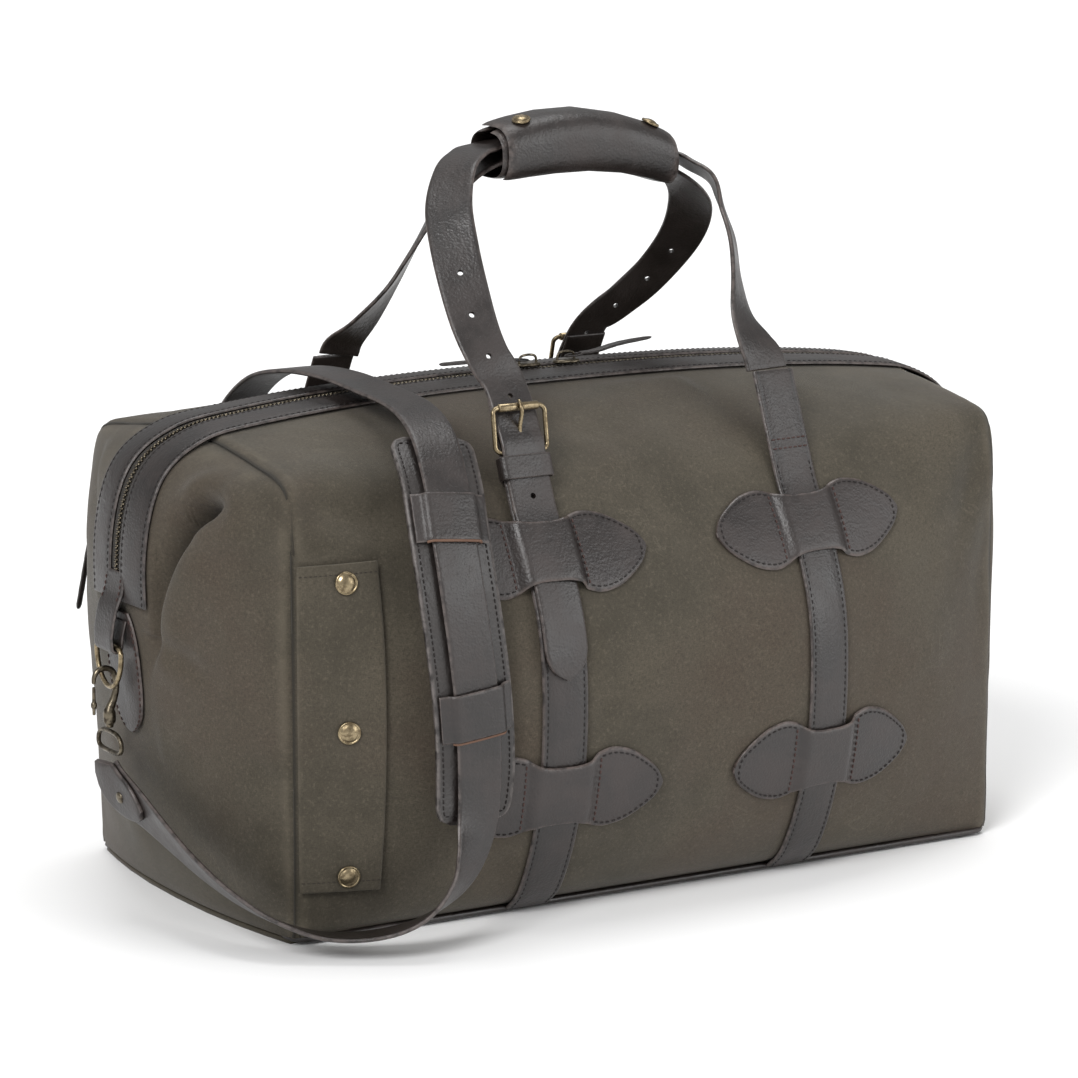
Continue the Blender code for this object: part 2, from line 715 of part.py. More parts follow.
def keeper(name, centre, along, face):
    """A closed loop of leather round the base strap and the tail over it."""
    half = STRAP_WIDTH / 2 + 0.0010
    low, high = -0.0004, STRAP_LEATHER * 2 + 0.0012
    rings = []
    for half_length in (-0.0075, 0.0075):
        rings.append([
            centre + along * half_length + np.array((u, 0, 0)) + face * w
            for u, w in (
                (-half - 0.002, low - 0.002), (half + 0.002, low - 0.002),
                (half + 0.002, high + 0.002), (-half - 0.002, high + 0.002),
                (-half, low), (half, low), (half, high), (-half, high),
            )
        ])
    verts = rings[0] + rings[1]
    faces = []
    for k in range(4):
        m = (k + 1) % 4
        faces.append((k, m, 8 + m, 8 + k))
        faces.append((4 + m, 4 + k, 12 + k, 12 + m))
        faces.append((m, k, 4 + k, 4 + m))
        faces.append((8 + k, 8 + m, 12 + m, 12 + k))
    solid(name, "leather", verts, faces, smooth=False)


# ---- ends: tab, ring and hook -------------------------------------------------------------
RING_BAR = (0.3535, 0.189)      # |x| and z of the D-ring's straight bar


def end_pieces(prefix, side):
    """The tab at the zip's end, its D-ring, and the bolt snap that holds the shoulder strap."""
    base_outer, base_inner = [], []
    for z, half in ((0.128, 0.004), (0.134, 0.014), (0.146, 0.021), (0.166, 0.024),
                    (0.190, 0.023), (0.208, 0.018)):
        row, under = [], []
        for k in (-1, -0.5, 0, 0.5, 1):
            v = end_at_height(side, k * half, z)
            point, normal = end_wall(side, k * half, v), end_normal(side, k * half, v)
            row.append(point + normal * (0.0006 + LEATHER))
            under.append(point + normal * 0.0006)
        base_outer.append(row)
        base_inner.append(under)
    tab = shell(prefix + "_end_tab", "leather", base_outer, base_inner)
    bar_x, bar_z = RING_BAR
    turn = WIRE + 0.0006 + 0.0012
    loop = [(bar_x - 0.0062, 0.226), (bar_x - 0.0005, 0.2140), (bar_x + turn, 0.1985)]
    loop += [
        (bar_x + turn * math.cos(a), bar_z + turn * math.sin(a))
        for a in np.radians(np.linspace(10, -190, 9))
    ]
    loop += [(bar_x - turn - 0.0006, 0.196), (bar_x - turn - 0.0032, 0.203)]
    centres = [np.array((side * x, 0.0, z)) for x, z in loop]
    fold = ribbon(prefix + "_tab_fold", "leather", centres, [np.array((0, 1.0, 0))] * len(loop),
                  [0.030] * len(loop), 0.0024)
    united(tab, [fold])
    ring_half, ring_drop = 0.0195, 0.030
    path = [(y, 0.0) for y in (-0.0165, -0.0055, 0.0055, 0.0165)]
    path += [
        (ring_half * math.cos(a), -0.0040 - (ring_drop - 0.004) * math.sin(a))
        for a in np.radians(np.linspace(0, 180, 13))
    ]
    pivot = np.array((side * bar_x, 0.0, bar_z))
    rod(prefix + "_d_ring", "brass", [pivot + (0, y, z) for y, z in path], WIRE, 8,
        closed=True, origin=pivot, start=(1, 0, 0))
    x = side * (bar_x + 0.0005)
    seat = bar_z - ring_drop
    hook = [
        (0.0130, seat + 0.0030), (0.0128, seat + 0.0080), (0.0095, seat + 0.0125),
        (0.0030, seat + 0.0140), (-0.0035, seat + 0.0115), (-0.0062, seat + 0.0040),
        (-0.0058, seat - 0.0040), (-0.0030, seat - 0.0110), (0.0, seat - 0.0160),
        (0.0, seat - 0.0175), (0.0, seat - 0.0255), (0.0, seat - 0.0265), (0.0, seat - 0.0290),
    ]
    sizes = [0.0014, 0.0018, 0.0022, 0.0023, 0.0024, 0.0025, 0.0026, 0.0029, 0.0036,
             0.0048, 0.0048, 0.0030, 0.0028]
    centre_z = seat - 0.0160
    rod(prefix + "_hook", "dark_brass", [(x + side * dx * 0.9, 0.0, z) for dx, z in hook],
        sizes, 10, origin=(x, 0, centre_z), start=(0, 1, 0))
    eye_z = seat - 0.0400
    rod(
        prefix + "_hook_eye", "dark_brass",
        [(x, y, eye_z + z) for y, z in (
            (0.0, 0.0085), (0.0120, 0.0080), (0.0175, 0.0040), (0.0185, -0.0015), (0.0165, -0.0055),
            (0.0, -0.0060), (-0.0165, -0.0055), (-0.0185, -0.0015), (-0.0175, 0.0040),
            (-0.0120, 0.0080))],
        0.0018, 8, closed=True, start=(1, 0, 0),
    )
    gate_x = x + side * 0.0117
    rod(
        prefix + "_hook_gate", "dark_brass",
        [(gate_x, 0, z) for z in (seat + 0.0010, seat, seat - 0.0100, seat - 0.0105,
                                  seat - 0.0135, seat - 0.0140, seat - 0.0190)],
        [0.0010, 0.0013, 0.0013, 0.0024, 0.0024, 0.0013, 0.0013], 8,
        origin=(gate_x, 0, seat), start=(0, 1, 0),
    )


# ---- shoulder strap and pad ---------------------------------------------------------------
STRAP_END = [               # from the hook down round the corner: point, then the face direction
    ((-0.3560, 0.0000, 0.1050), (-1, 0, 0)), ((-0.3560, -0.0020, 0.0985), (-1, 0, 0)),
    ((-0.3545, -0.0165, 0.0895), (-1, 0, -0.1)),
    ((-0.3500, -0.0432, 0.0790), (-0.95, 0, -0.3)), ((-0.3450, -0.0711, 0.0660), (-0.87, 0, -0.45)),
    ((-0.3390, -0.1045, 0.0515), (-0.8, 0, -0.6)), ((-0.3290, -0.1384, 0.0374), (-0.65, -0.05, -0.75)),
    ((-0.3110, -0.1656, 0.0240), (-0.4, -0.1, -0.9)), ((-0.2850, -0.1847, 0.0150), (-0.15, -0.1, -1)),
]
STRAP_RISE = [
    ((-0.2560, -0.2030, 0.0160), (0, -0.12, -1)), ((-0.2300, -0.2150, 0.0240), (0.25, -0.3, -0.9)),
    ((-0.2090, -0.2195, 0.0390), (0.45, -0.6, -0.65)), ((-0.1930, -0.2170, 0.0576), (0.35, -0.88, -0.3)),
    ((-0.1815, -0.2110, 0.0850), (0.12, -1, -0.05)),
]
STRAP_OVER = [
    ((-0.1800, -0.2120, 0.1200), (0, -1, 0)), ((-0.1840, -0.2160, 0.1650), (0, -1, 0)),
    ((-0.1900, -0.2170, 0.2100), (0, -1, 0.05)), ((-0.1930, -0.2110, 0.2500), (0, -1, 0.2)),
    ((-0.1920, -0.1970, 0.2880), (0, -0.9, 0.4)), ((-0.1870, -0.1780, 0.3180), (0, -0.8, 0.6)),
    ((-0.1800, -0.1480, 0.3440), (0, -0.45, 0.9)), ((-0.1740, -0.1080, 0.3560), (0, -0.18, 1)),
    ((-0.1720, -0.0550, 0.3600), (0, -0.05, 1)), ((-0.1720, 0.0000, 0.3625), (0, 0, 1)),
    ((-0.1730, 0.0550, 0.3590), (0, 0.1, 1)), ((-0.1740, 0.1050, 0.3470), (0, 0.4, 0.9)),
    ((-0.1740, 0.1480, 0.3190), (0, 0.7, 0.7)), ((-0.1720, 0.1800, 0.2780), (0, 0.85, 0.5)),
    ((-0.1620, 0.2060, 0.2350), (0, 0.95, 0.3)), ((-0.1400, 0.2220, 0.2000), (0, 1, 0.15)),
    ((-0.1040, 0.2330, 0.1700), (0, 1, 0)), ((-0.0550, 0.2385, 0.1400), (0, 1, 0)),
    ((0.0000, 0.2400, 0.1150), (0, 1, 0)), ((0.0600, 0.2370, 0.0930), (0, 1, 0)),
    ((0.1150, 0.2320, 0.0740), (0, 1, -0.1)), ((0.1650, 0.2250, 0.0560), (0, 0.9, -0.4)),
    ((0.2100, 0.2170, 0.0360), (0, 0.55, -0.85)), ((0.2500, 0.2050, 0.0200), (0, 0.2, -1)),
]
# The strap's other end hangs the same way, turned half round the bag's middle.
STRAP_FAR_END = [
    ((-x, -y, z), (-u, -v, w)) for (x, y, z), (u, v, w) in reversed(STRAP_END)
]
STRAP_STATIONS = STRAP_END + STRAP_RISE + STRAP_OVER + STRAP_FAR_END


def shoulder_strap():
    count = 92
    centres = spline([p for p, _ in STRAP_STATIONS], count)
    faces = spline([unit(n) for _, n in STRAP_STATIONS], count)
    sides = [np.cross(along, face) for along, face in zip(tangents(centres), faces)]
    widths = [STRAP_WIDTH] * count
    ribbon("shoulder_strap", "leather", centres, sides, widths, STRAP_LEATHER)


PAD_FIRST, PAD_LAST = 13, 20    # the strap's stations that the pad lies under
PAD_WIDTH, PAD_THICK = 0.060, 0.0075


def shoulder_pad():
    """The padded leather piece under the strap, with two loops that the strap runs through."""
    stations = STRAP_STATIONS[PAD_FIRST : PAD_LAST + 1]
    course = spline([p for p, _ in stations], 19)
    strap_faces = spline([unit(n) for _, n in stations], 19)
    rows, under, loops = [], [], []
    flow = tangents(course)
    for i, (centre, along, strap_face) in enumerate(zip(course, flow, strap_faces)):
        side = unit(np.cross(along, strap_face))
        face = np.cross(side, along)
        down = STRAP_LEATHER / 2 + 0.0011
        end = min(i, len(course) - 1 - i)
        half = PAD_WIDTH / 2 * (0.86, 1.0)[min(end, 1)]
        rows.append([centre - face * (down + d) + side * half * k
                     for k, d in ((-1, 0.0018), (-0.82, 0.0), (0, 0.0), (0.82, 0.0), (1, 0.0018))])
        under.append([centre - face * (down + d) + side * half * k
                      for k, d in ((-1, 0.0050), (-0.82, PAD_THICK), (0, PAD_THICK),
                                   (0.82, PAD_THICK), (1, 0.0050))])
        if i in (5, 14):
            loops.append((centre, side, face, along))
    pad = shell("shoulder_pad", "pad", rows, under)
    helpers = []
    for number, (centre, side, face, along) in enumerate(loops):
        over = STRAP_LEATHER / 2 + 0.0008 + 0.0011
        half = STRAP_WIDTH / 2 + 0.0024
        path = [(-half - 0.0045, -over - 0.0012), (-half - 0.0015, -0.0005), (-half, over * 0.75),
                (-half + 0.004, over), (0, over + 0.0003), (half - 0.004, over),
                (half, over * 0.75), (half + 0.0015, -0.0005), (half + 0.0045, -over - 0.0012)]
        centres = [centre + side * u + face * w for u, w in path]
        helpers.append(ribbon(f"pad_loop_{number}", "pad", centres, [along] * len(path),
                              [0.034] * len(path), 0.0022))
    united(pad, helpers)


# ---- pockets ------------------------------------------------------------------------------
def pocket_flap():
    """The narrow canvas flap at the front's left seam, and its three snaps."""
    xs = [-0.2885, -0.280, -0.268, -0.256, -0.244, -0.233]
    zs = np.linspace(0.040, 0.262, 10)
    rows, under = [], []
    for x in xs:
        row, low = [], []
        for z in zs:
            s = wall_at_height(-1, x, z)
            point, normal = wall(-1, x, s), wall_normal(-1, x, s)
            row.append(point + normal * 0.0048)
            low.append(point + normal * 0.0008)
        rows.append(row)
        under.append(low)
    hinge = (-0.2885, -HALF_DEPTH - 0.0028, 0.15)
    shell("pocket_flap", "canvas", rows, under, origin=hinge)
    for name, z in (("flap_snap_lower", 0.050), ("flap_snap_middle", 0.150),
                    ("flap_snap_upper", 0.250)):
        s = wall_at_height(-1, -0.2545, z)
        point, normal = wall(-1, -0.2545, s), wall_normal(-1, -0.2545, s)
        dome(name, "brass", point + normal * 0.0054, normal, 0.0075, 0.0026, hinge)


BACK_ZIP_X = -0.280


def back_pocket():
    """The back pocket's zip, upright near the left seam, with its slider and pull."""
    xs = (-0.0080, -0.0034, -0.0028, 0.0028, 0.0034, 0.0080)
    raised = (0.0014, 0.0014, 0.0030, 0.0030, 0.0014, 0.0014)
    zs = np.linspace(0.050, 0.268, 12)
    rows, under = [], []
    for dx, height in zip(xs, raised):
        row, low = [], []
        for z in zs:
            s = wall_at_height(1, BACK_ZIP_X, z)
            point, normal = wall(1, BACK_ZIP_X, s), wall_normal(1, BACK_ZIP_X, s)
            across = unit(np.cross((0, 0, 1.0), normal)) * -1
            row.append(point + across * dx + normal * height)
            low.append(point + across * dx + normal * 0.0005)
        rows.append(row)
        under.append(low)
    shell("back_pocket_zip", "zip", rows, under)
    z = 0.254
    s = wall_at_height(1, BACK_ZIP_X, z)
    point, normal = wall(1, BACK_ZIP_X, s), wall_normal(1, BACK_ZIP_X, s)
    normal = unit((normal[0], normal[1], 0))
    across = unit(np.cross((0, 0, 1.0), normal)) * -1
    clear = 0.0062
    outline = [(-0.0110, 0.0040), (-0.0060, 0.0058), (0.0040, 0.0062), (0.0105, 0.0034),
               (0.0105, -0.0034), (0.0040, -0.0062), (-0.0060, -0.0058), (-0.0110, -0.0040)]
    rings = [
        [point + across * v * size + normal * (clear + out) + (0, 0, u * size) for u, v in outline]
        for out, size in ((0.0, 1.0), (0.0022, 1.0), (0.0030, 0.82))
    ]
    body = sweep("back_pocket_slider", "brass", rings, point)
    arch = spline([(-0.0075, 0.0015), (-0.0055, 0.0078), (0.0055, 0.0078), (0.0075, 0.0015)], 11)
    bridge = rod("back_slider_bridge", "brass",
                 [point + normal * (clear + w) + (0, 0, u) for u, w in arch], 0.0011, 6,
                 start=across)
    united(body, [bridge])
    pivot = point + normal * (clear + 0.0048)
    loop = [
        pivot + (0, 0, -0.0070 - 0.0070 * math.cos(a)) + across * 0.0042 * math.sin(a)
        + normal * 0.0010 * (1 + math.cos(a)) / 2
        for a in (2 * math.pi * k / 14 for k in range(14))
    ]
    ring = rod("back_pocket_pull", "leather", loop, 0.0009, 6, closed=True, origin=pivot)
    fringe = []
    for number, lean in enumerate((-0.010, 0.012)):
        route = spline([
            pivot + (0, 0, -0.0125) + normal * 0.0012,
            pivot + (0, 0, -0.030) + normal * 0.0040 + across * lean * 0.3,
            pivot + (0, 0, -0.055) + normal * (0.0055 + 0.003 * number) + across * lean * 0.8,
            pivot + (0, 0, -0.078) + normal * (0.0065 + 0.004 * number) + across * lean * 1.3,
        ], 7)
        fringe.append(ribbon(f"pull_strip_{number}", "leather", route, [across] * 7,
                             [0.0055] * 7, 0.0022))
    united(ring, fringe)


# ---- the whole bag ------------------------------------------------------------------------
def main():
    for old in list(bpy.data.objects):
        bpy.data.objects.remove(old)
    canvas_panels()
    bottom()
    facings()
    zip_tape()
    zip_slider("left_zip_slider", -0.016, 1)
    zip_slider("right_zip_slider", 0.016, -1)
    zip_pull("left_zip_pull", -0.016, -1, 0.0)
    zip_pull("right_zip_pull", 0.016, 1, 0.006)
    runs = {}
    for side, face, pivot in ((-1, "front", FRONT_PIVOT), (1, "back", BACK_PIVOT)):
        for x, hand in ((-STRAP_X, "left"), (STRAP_X, "right")):
            gap = 0.0045 if (side < 0) == (x < 0) else 0.0026
            runs[face, hand] = base_strap(f"{face}_{hand}_base_strap", side, x, pivot, gap)
    for face, hand, side, x in (("front", "left", -1, -STRAP_X), ("back", "right", 1, STRAP_X)):
        tail_strap(f"{face}_tail_strap", side, x, runs[face, hand])
        buckle(face, side, runs[face, hand][1])
    strap_stack = GAP + STRAP_LEATHER
    for side, face in ((-1, "front"), (1, "back")):
        for x, hand in ((-STRAP_X, "left"), (STRAP_X, "right")):
            tailed = (side < 0) == (x < 0)
            high = strap_stack + (STRAP_LEATHER + 0.0012 if tailed else 0.0004)
            patch(f"{face}_{hand}_upper_patch", side, x, 0.257, high)
            patch(f"{face}_{hand}_lower_patch", side, x, 0.094, strap_stack + 0.0004)
    handles()
    grip_wrap()
    for prefix, side in (("left", -1), ("right", 1)):
        end_pieces(prefix, side)
    shoulder_strap()
    shoulder_pad()
    pocket_flap()
    back_pocket()


main()
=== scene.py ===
import math

import bmesh
import bpy
import numpy as np
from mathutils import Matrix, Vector, noise


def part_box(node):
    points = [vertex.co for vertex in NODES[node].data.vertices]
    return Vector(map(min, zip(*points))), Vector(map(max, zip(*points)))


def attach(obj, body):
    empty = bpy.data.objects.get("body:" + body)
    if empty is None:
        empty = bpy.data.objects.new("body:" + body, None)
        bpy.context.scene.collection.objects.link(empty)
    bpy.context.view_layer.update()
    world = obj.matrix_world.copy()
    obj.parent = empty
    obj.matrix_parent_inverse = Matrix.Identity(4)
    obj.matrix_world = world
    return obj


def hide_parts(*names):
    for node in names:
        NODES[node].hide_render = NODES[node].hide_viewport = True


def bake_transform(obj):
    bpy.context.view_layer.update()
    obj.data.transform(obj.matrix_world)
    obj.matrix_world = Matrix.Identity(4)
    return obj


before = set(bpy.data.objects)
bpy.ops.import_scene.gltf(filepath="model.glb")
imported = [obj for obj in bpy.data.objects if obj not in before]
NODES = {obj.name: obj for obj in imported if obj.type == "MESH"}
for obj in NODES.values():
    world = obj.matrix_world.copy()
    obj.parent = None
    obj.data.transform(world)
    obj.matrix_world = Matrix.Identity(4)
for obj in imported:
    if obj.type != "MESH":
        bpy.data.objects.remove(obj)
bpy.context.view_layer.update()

# ---- driving dimensions, as in the CAD model ----------------------------------------------
HALF_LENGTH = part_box("front_panel")[1].x
HALF_DEPTH = 0.1525
GAP = 0.0006
LEATHER = 0.0026
STRAP_LEATHER = 0.0032
STRAP_WIDTH = 0.034
STRAP_X = 0.109
ZIP_HALF = 0.0080
FACING_WIDTH = 0.031
FRONT_PIVOT = (-0.128, 0.362)
BACK_PIVOT = (0.120, 0.356)
END_TOP = 0.336
CANVAS = 0.0022

MIDDLE_PROFILE = [
    (HALF_DEPTH, 0.0055), (0.1720, 0.0220), (0.1920, 0.0600), (0.2050, 0.1050), (0.2090, 0.1550),
    (0.2050, 0.2000), (0.1890, 0.2400), (0.1650, 0.2770), (0.1380, 0.3120), (0.0880, 0.3380),
    (0.0400, 0.3490), (ZIP_HALF, 0.3520),
]
END_PROFILE = [
    (HALF_DEPTH, 0.0055), (HALF_DEPTH, 0.0220), (HALF_DEPTH, 0.0600), (HALF_DEPTH, 0.1050),
    (HALF_DEPTH, 0.1550), (HALF_DEPTH, 0.2050), (HALF_DEPTH, 0.2500), (0.1510, 0.2900),
    (0.1400, 0.3170), (0.0950, 0.3270), (0.0400, 0.3340), (ZIP_HALF, END_TOP),
]
END_BULGE = [
    (0.017, 0.000), (0.032, 0.149), (0.044, 0.357), (0.052, 0.565), (0.055, 0.744),
    (0.047, 0.878), (0.031, 0.952), (0.000, 1.000),
]


# ---- curves -------------------------------------------------------------------------------
def spline(points, count):
    """Count points along a Catmull-Rom curve through the given ones, as one array."""
    p = np.array(points, float)
    p = np.vstack([2 * p[0] - p[1], p, 2 * p[-1] - p[-2]])
    value = np.linspace(0, len(p) - 3, count)
    i = np.minimum(value.astype(int), len(p) - 4)
    t = (value - i)[:, None]
    a, b, c, d = p[i], p[i + 1], p[i + 2], p[i + 3]
    return 0.5 * (2 * b + (c - a) * t + (2 * a - 5 * b + 4 * c - d) * t**2
                  + (3 * b - a - 3 * c + d) * t**3)


def unit(v):
    """The vectors, each made one long."""
    v = np.asarray(v, float)
    return v / np.maximum(np.linalg.norm(v, axis=-1, keepdims=True), 1e-12)


def tangents(points, closed=False):
    """The unit direction of a line at each of its points."""
    p = np.asarray(points, float)
    if closed:
        return unit(np.roll(p, -1, 0) - np.roll(p, 1, 0))
    return unit(np.gradient(p, axis=0))


def lengths(points):
    """Distance along a line at each of its points."""
    steps = np.linalg.norm(np.diff(points, axis=0), axis=1)
    return np.concatenate([[0.0], np.cumsum(steps)])


def resampled(points, spacing, *others):
    """The line with an even spacing, and other arrays read at the same places."""
    along = lengths(points)
    count = max(int(round(along[-1] / spacing)), 2) + 1
    at = np.linspace(0, along[-1], count)

    def read(values):
        values = np.asarray(values, float)
        flat = values.reshape(len(values), -1)
        found = np.stack([np.interp(at, along, flat[:, k]) for k in range(flat.shape[1])], 1)
        return found.reshape((count,) + values.shape[1:])

    return [read(points)] + [read(o) for o in others]


def softened(values, rounds=4):
    """The same row of values with its corners eased."""
    v = np.array(values, float)
    for _ in range(rounds):
        v[1:-1] = (v[:-2] + 2 * v[1:-1] + v[2:]) / 4
    return v


def smoothstep(value, low, high):
    """An eased step from 0 at low to 1 at high."""
    t = np.clip((np.asarray(value, float) - low) / (high - low), 0, 1)
    return t * t * (3 - 2 * t)


def grid_normals(p, outside):
    """Unit normals of a grid of points, on the side of the point or direction outside."""
    n = unit(np.cross(np.gradient(p, axis=0), np.gradient(p, axis=1)))
    return n * np.where((n * outside).sum(-1, keepdims=True) < 0, -1, 1)


# ---- the bag's surface --------------------------------------------------------------------
STEPS = np.linspace(0, 1, 601)
MIDDLE = spline(MIDDLE_PROFILE, len(STEPS))
END = spline(END_PROFILE, len(STEPS))
BULGE = spline(END_BULGE, len(STEPS))
ARCH = END[END[:, 1] > 0.255][::-1]


def wall(side, x, s):
    """Points of the front (side -1) or back (side 1), s from 0 at the bottom to 1 at the zip."""
    x, s = np.broadcast_arrays(np.asarray(x, float), np.asarray(s, float))
    full = 1 - np.minimum(np.abs(x) / HALF_LENGTH, 1.0) ** 2.6
    y = full * np.interp(s, STEPS, MIDDLE[:, 0]) + (1 - full) * np.interp(s, STEPS, END[:, 0])
    z = full * np.interp(s, STEPS, MIDDLE[:, 1]) + (1 - full) * np.interp(s, STEPS, END[:, 1])
    return np.stack([x, side * y, z], -1)


def wall_normal(side, x, s):
    """The outward direction of the front or back at each point."""
    along = wall(side, x + 0.004, s) - wall(side, x - 0.004, s)
    up = wall(side, x, np.minimum(s + 0.02, 1)) - wall(side, x, np.maximum(s - 0.02, 0))
    return unit(np.cross(along, up)) * -side


def solve(test, shape):
    """The value from 0 to 1 at which test turns false, for each entry."""
    low, high = np.zeros(shape), np.ones(shape)
    for _ in range(26):
        middle = (low + high) / 2
        below = test(middle)
        low, high = np.where(below, middle, low), np.where(below, high, middle)
    return (low + high) / 2


def wall_at_height(side, x, z):
    """The wall's s at each height."""
    x, z = np.broadcast_arrays(np.asarray(x, float), np.asarray(z, float))
    return solve(lambda s: wall(side, x, s)[..., 2] < z, x.shape)


def arch_height(y):
    """The height of the end's top edge at each y."""
    y = np.minimum(np.abs(y), HALF_DEPTH)
    return np.interp(y, np.maximum.accumulate(ARCH[:, 0]), ARCH[:, 1])


def end_wall(side, y, v, inset=0.0, floor=0.0):
    """Points of the left (side -1) or right (side 1) end, v from 0 at the bottom to 1."""
    y, v = np.broadcast_arrays(np.asarray(y, float), np.asarray(v, float))
    bulge = np.interp(v, STEPS, BULGE[:, 0])
    part = np.interp(v, STEPS, BULGE[:, 1])
    across = 1 - np.minimum(np.abs(y) / (HALF_DEPTH - inset), 1.0) ** 2.2
    top = arch_height(np.abs(y) + inset) - inset
    return np.stack([side * (HALF_LENGTH + bulge * across), y, floor + part * (top - floor)], -1)


def end_normal(side, y, v):
    """The outward direction of an end at each point."""
    over = end_wall(side, y + 0.003, v) - end_wall(side, y - 0.003, v)
    up = end_wall(side, y, np.minimum(v + 0.01, 1)) - end_wall(side, y, np.maximum(v - 0.01, 0))
    return unit(np.cross(over, up)) * side


def end_at_height(side, y, z):
    """The end's v at each height."""
    y, z = np.broadcast_arrays(np.asarray(y, float), np.asarray(z, float))
    return solve(lambda v: end_wall(side, y, v)[..., 2] < z, y.shape)


# ---- materials ----------------------------------------------------------------------------
class Paint:
    """A Principled material and short names for the nodes that feed it."""

    def __init__(self, name):
        self.material = bpy.data.materials.new(name)
        self.material.use_nodes = True
        self.tree = self.material.node_tree
        self.shader = self.tree.nodes["Principled BSDF"]

    def add(self, kind, **inputs):
        node = self.tree.nodes.new(kind)
        for key, value in inputs.items():
            if key in ("operation", "data_type", "blend_type", "attribute_name", "feature",
                       "noise_dimensions", "voronoi_dimensions", "interpolation_type"):
                setattr(node, key, value)
        return node

    def link(self, source, socket):
        self.tree.links.new(source, socket)

    def set(self, **values):
        for key, value in values.items():
            self.shader.inputs[key.replace("_", " ")].default_value = value

    def place(self):
        return self.add("ShaderNodeTexCoord").outputs["Object"]

    def attribute(self, name, vector=False):
        node = self.add("ShaderNodeAttribute", attribute_name=name)
        return node.outputs["Vector" if vector else "Fac"]

    def stretched(self, vector, scale, turn=(0, 0, 0)):
        node = self.add("ShaderNodeMapping")
        node.inputs["Scale"].default_value = scale
        node.inputs["Rotation"].default_value = turn
        self.link(vector, node.inputs["Vector"])
        return node.outputs["Vector"]

    def noise(self, vector, scale, detail=4.0, rough=0.55, distortion=0.0):
        node = self.add("ShaderNodeTexNoise")
        for key, value in (("Scale", scale), ("Detail", detail), ("Roughness", rough),
                           ("Distortion", distortion)):
            node.inputs[key].default_value = value
        self.link(vector, node.inputs["Vector"])
        return node.outputs["Fac"]

    def cells(self, vector, scale, feature="F1"):
        node = self.add("ShaderNodeTexVoronoi", feature=feature)
        node.inputs["Scale"].default_value = scale
        self.link(vector, node.inputs["Vector"])
        return node.outputs["Distance"]

    def math(self, operation, a, b=0.5):
        node = self.add("ShaderNodeMath", operation=operation)
        for socket, value in zip(node.inputs, (a, b)):
            if isinstance(value, (int, float)):
                socket.default_value = value
            else:
                self.link(value, socket)
        return node.outputs[0]

    def ramp(self, value, low, high, bottom=0.0, top=1.0):
        node = self.add("ShaderNodeMapRange", interpolation_type="SMOOTHSTEP")
        for key, number in (("From Min", low), ("From Max", high), ("To Min", bottom),
                            ("To Max", top)):
            node.inputs[key].default_value = number
        self.link(value, node.inputs["Value"])
        return node.outputs["Result"]

    def mix(self, factor, first, second, blend="MIX"):
        node = self.add("ShaderNodeMix", data_type="RGBA", blend_type=blend)
        for socket, value in ((node.inputs["Factor"], factor), (node.inputs[6], first),
                              (node.inputs[7], second)):
            if isinstance(value, (tuple, list)):
                socket.default_value = (*value, 1.0)
            elif isinstance(value, (int, float)):
                socket.default_value = value
            else:
                self.link(value, socket)
        return node.outputs[2]

    def bump(self, layers):
        """Heights in metres, the coarse ones first."""
        last = None
        for height, distance, strength in layers:
            node = self.add("ShaderNodeBump")
            node.inputs["Distance"].default_value = distance
            node.inputs["Strength"].default_value = strength
            self.link(height, node.inputs["Height"])
            if last is not None:
                self.link(last, node.inputs["Normal"])
            last = node.outputs["Normal"]
        self.link(last, self.shader.inputs["Normal"])

    def colour(self, value):
        self.link(value, self.shader.inputs["Base Color"])

    def roughness(self, value):
        self.link(value, self.shader.inputs["Roughness"])


THREAD = 0.00085            # pitch of the canvas's warp and weft


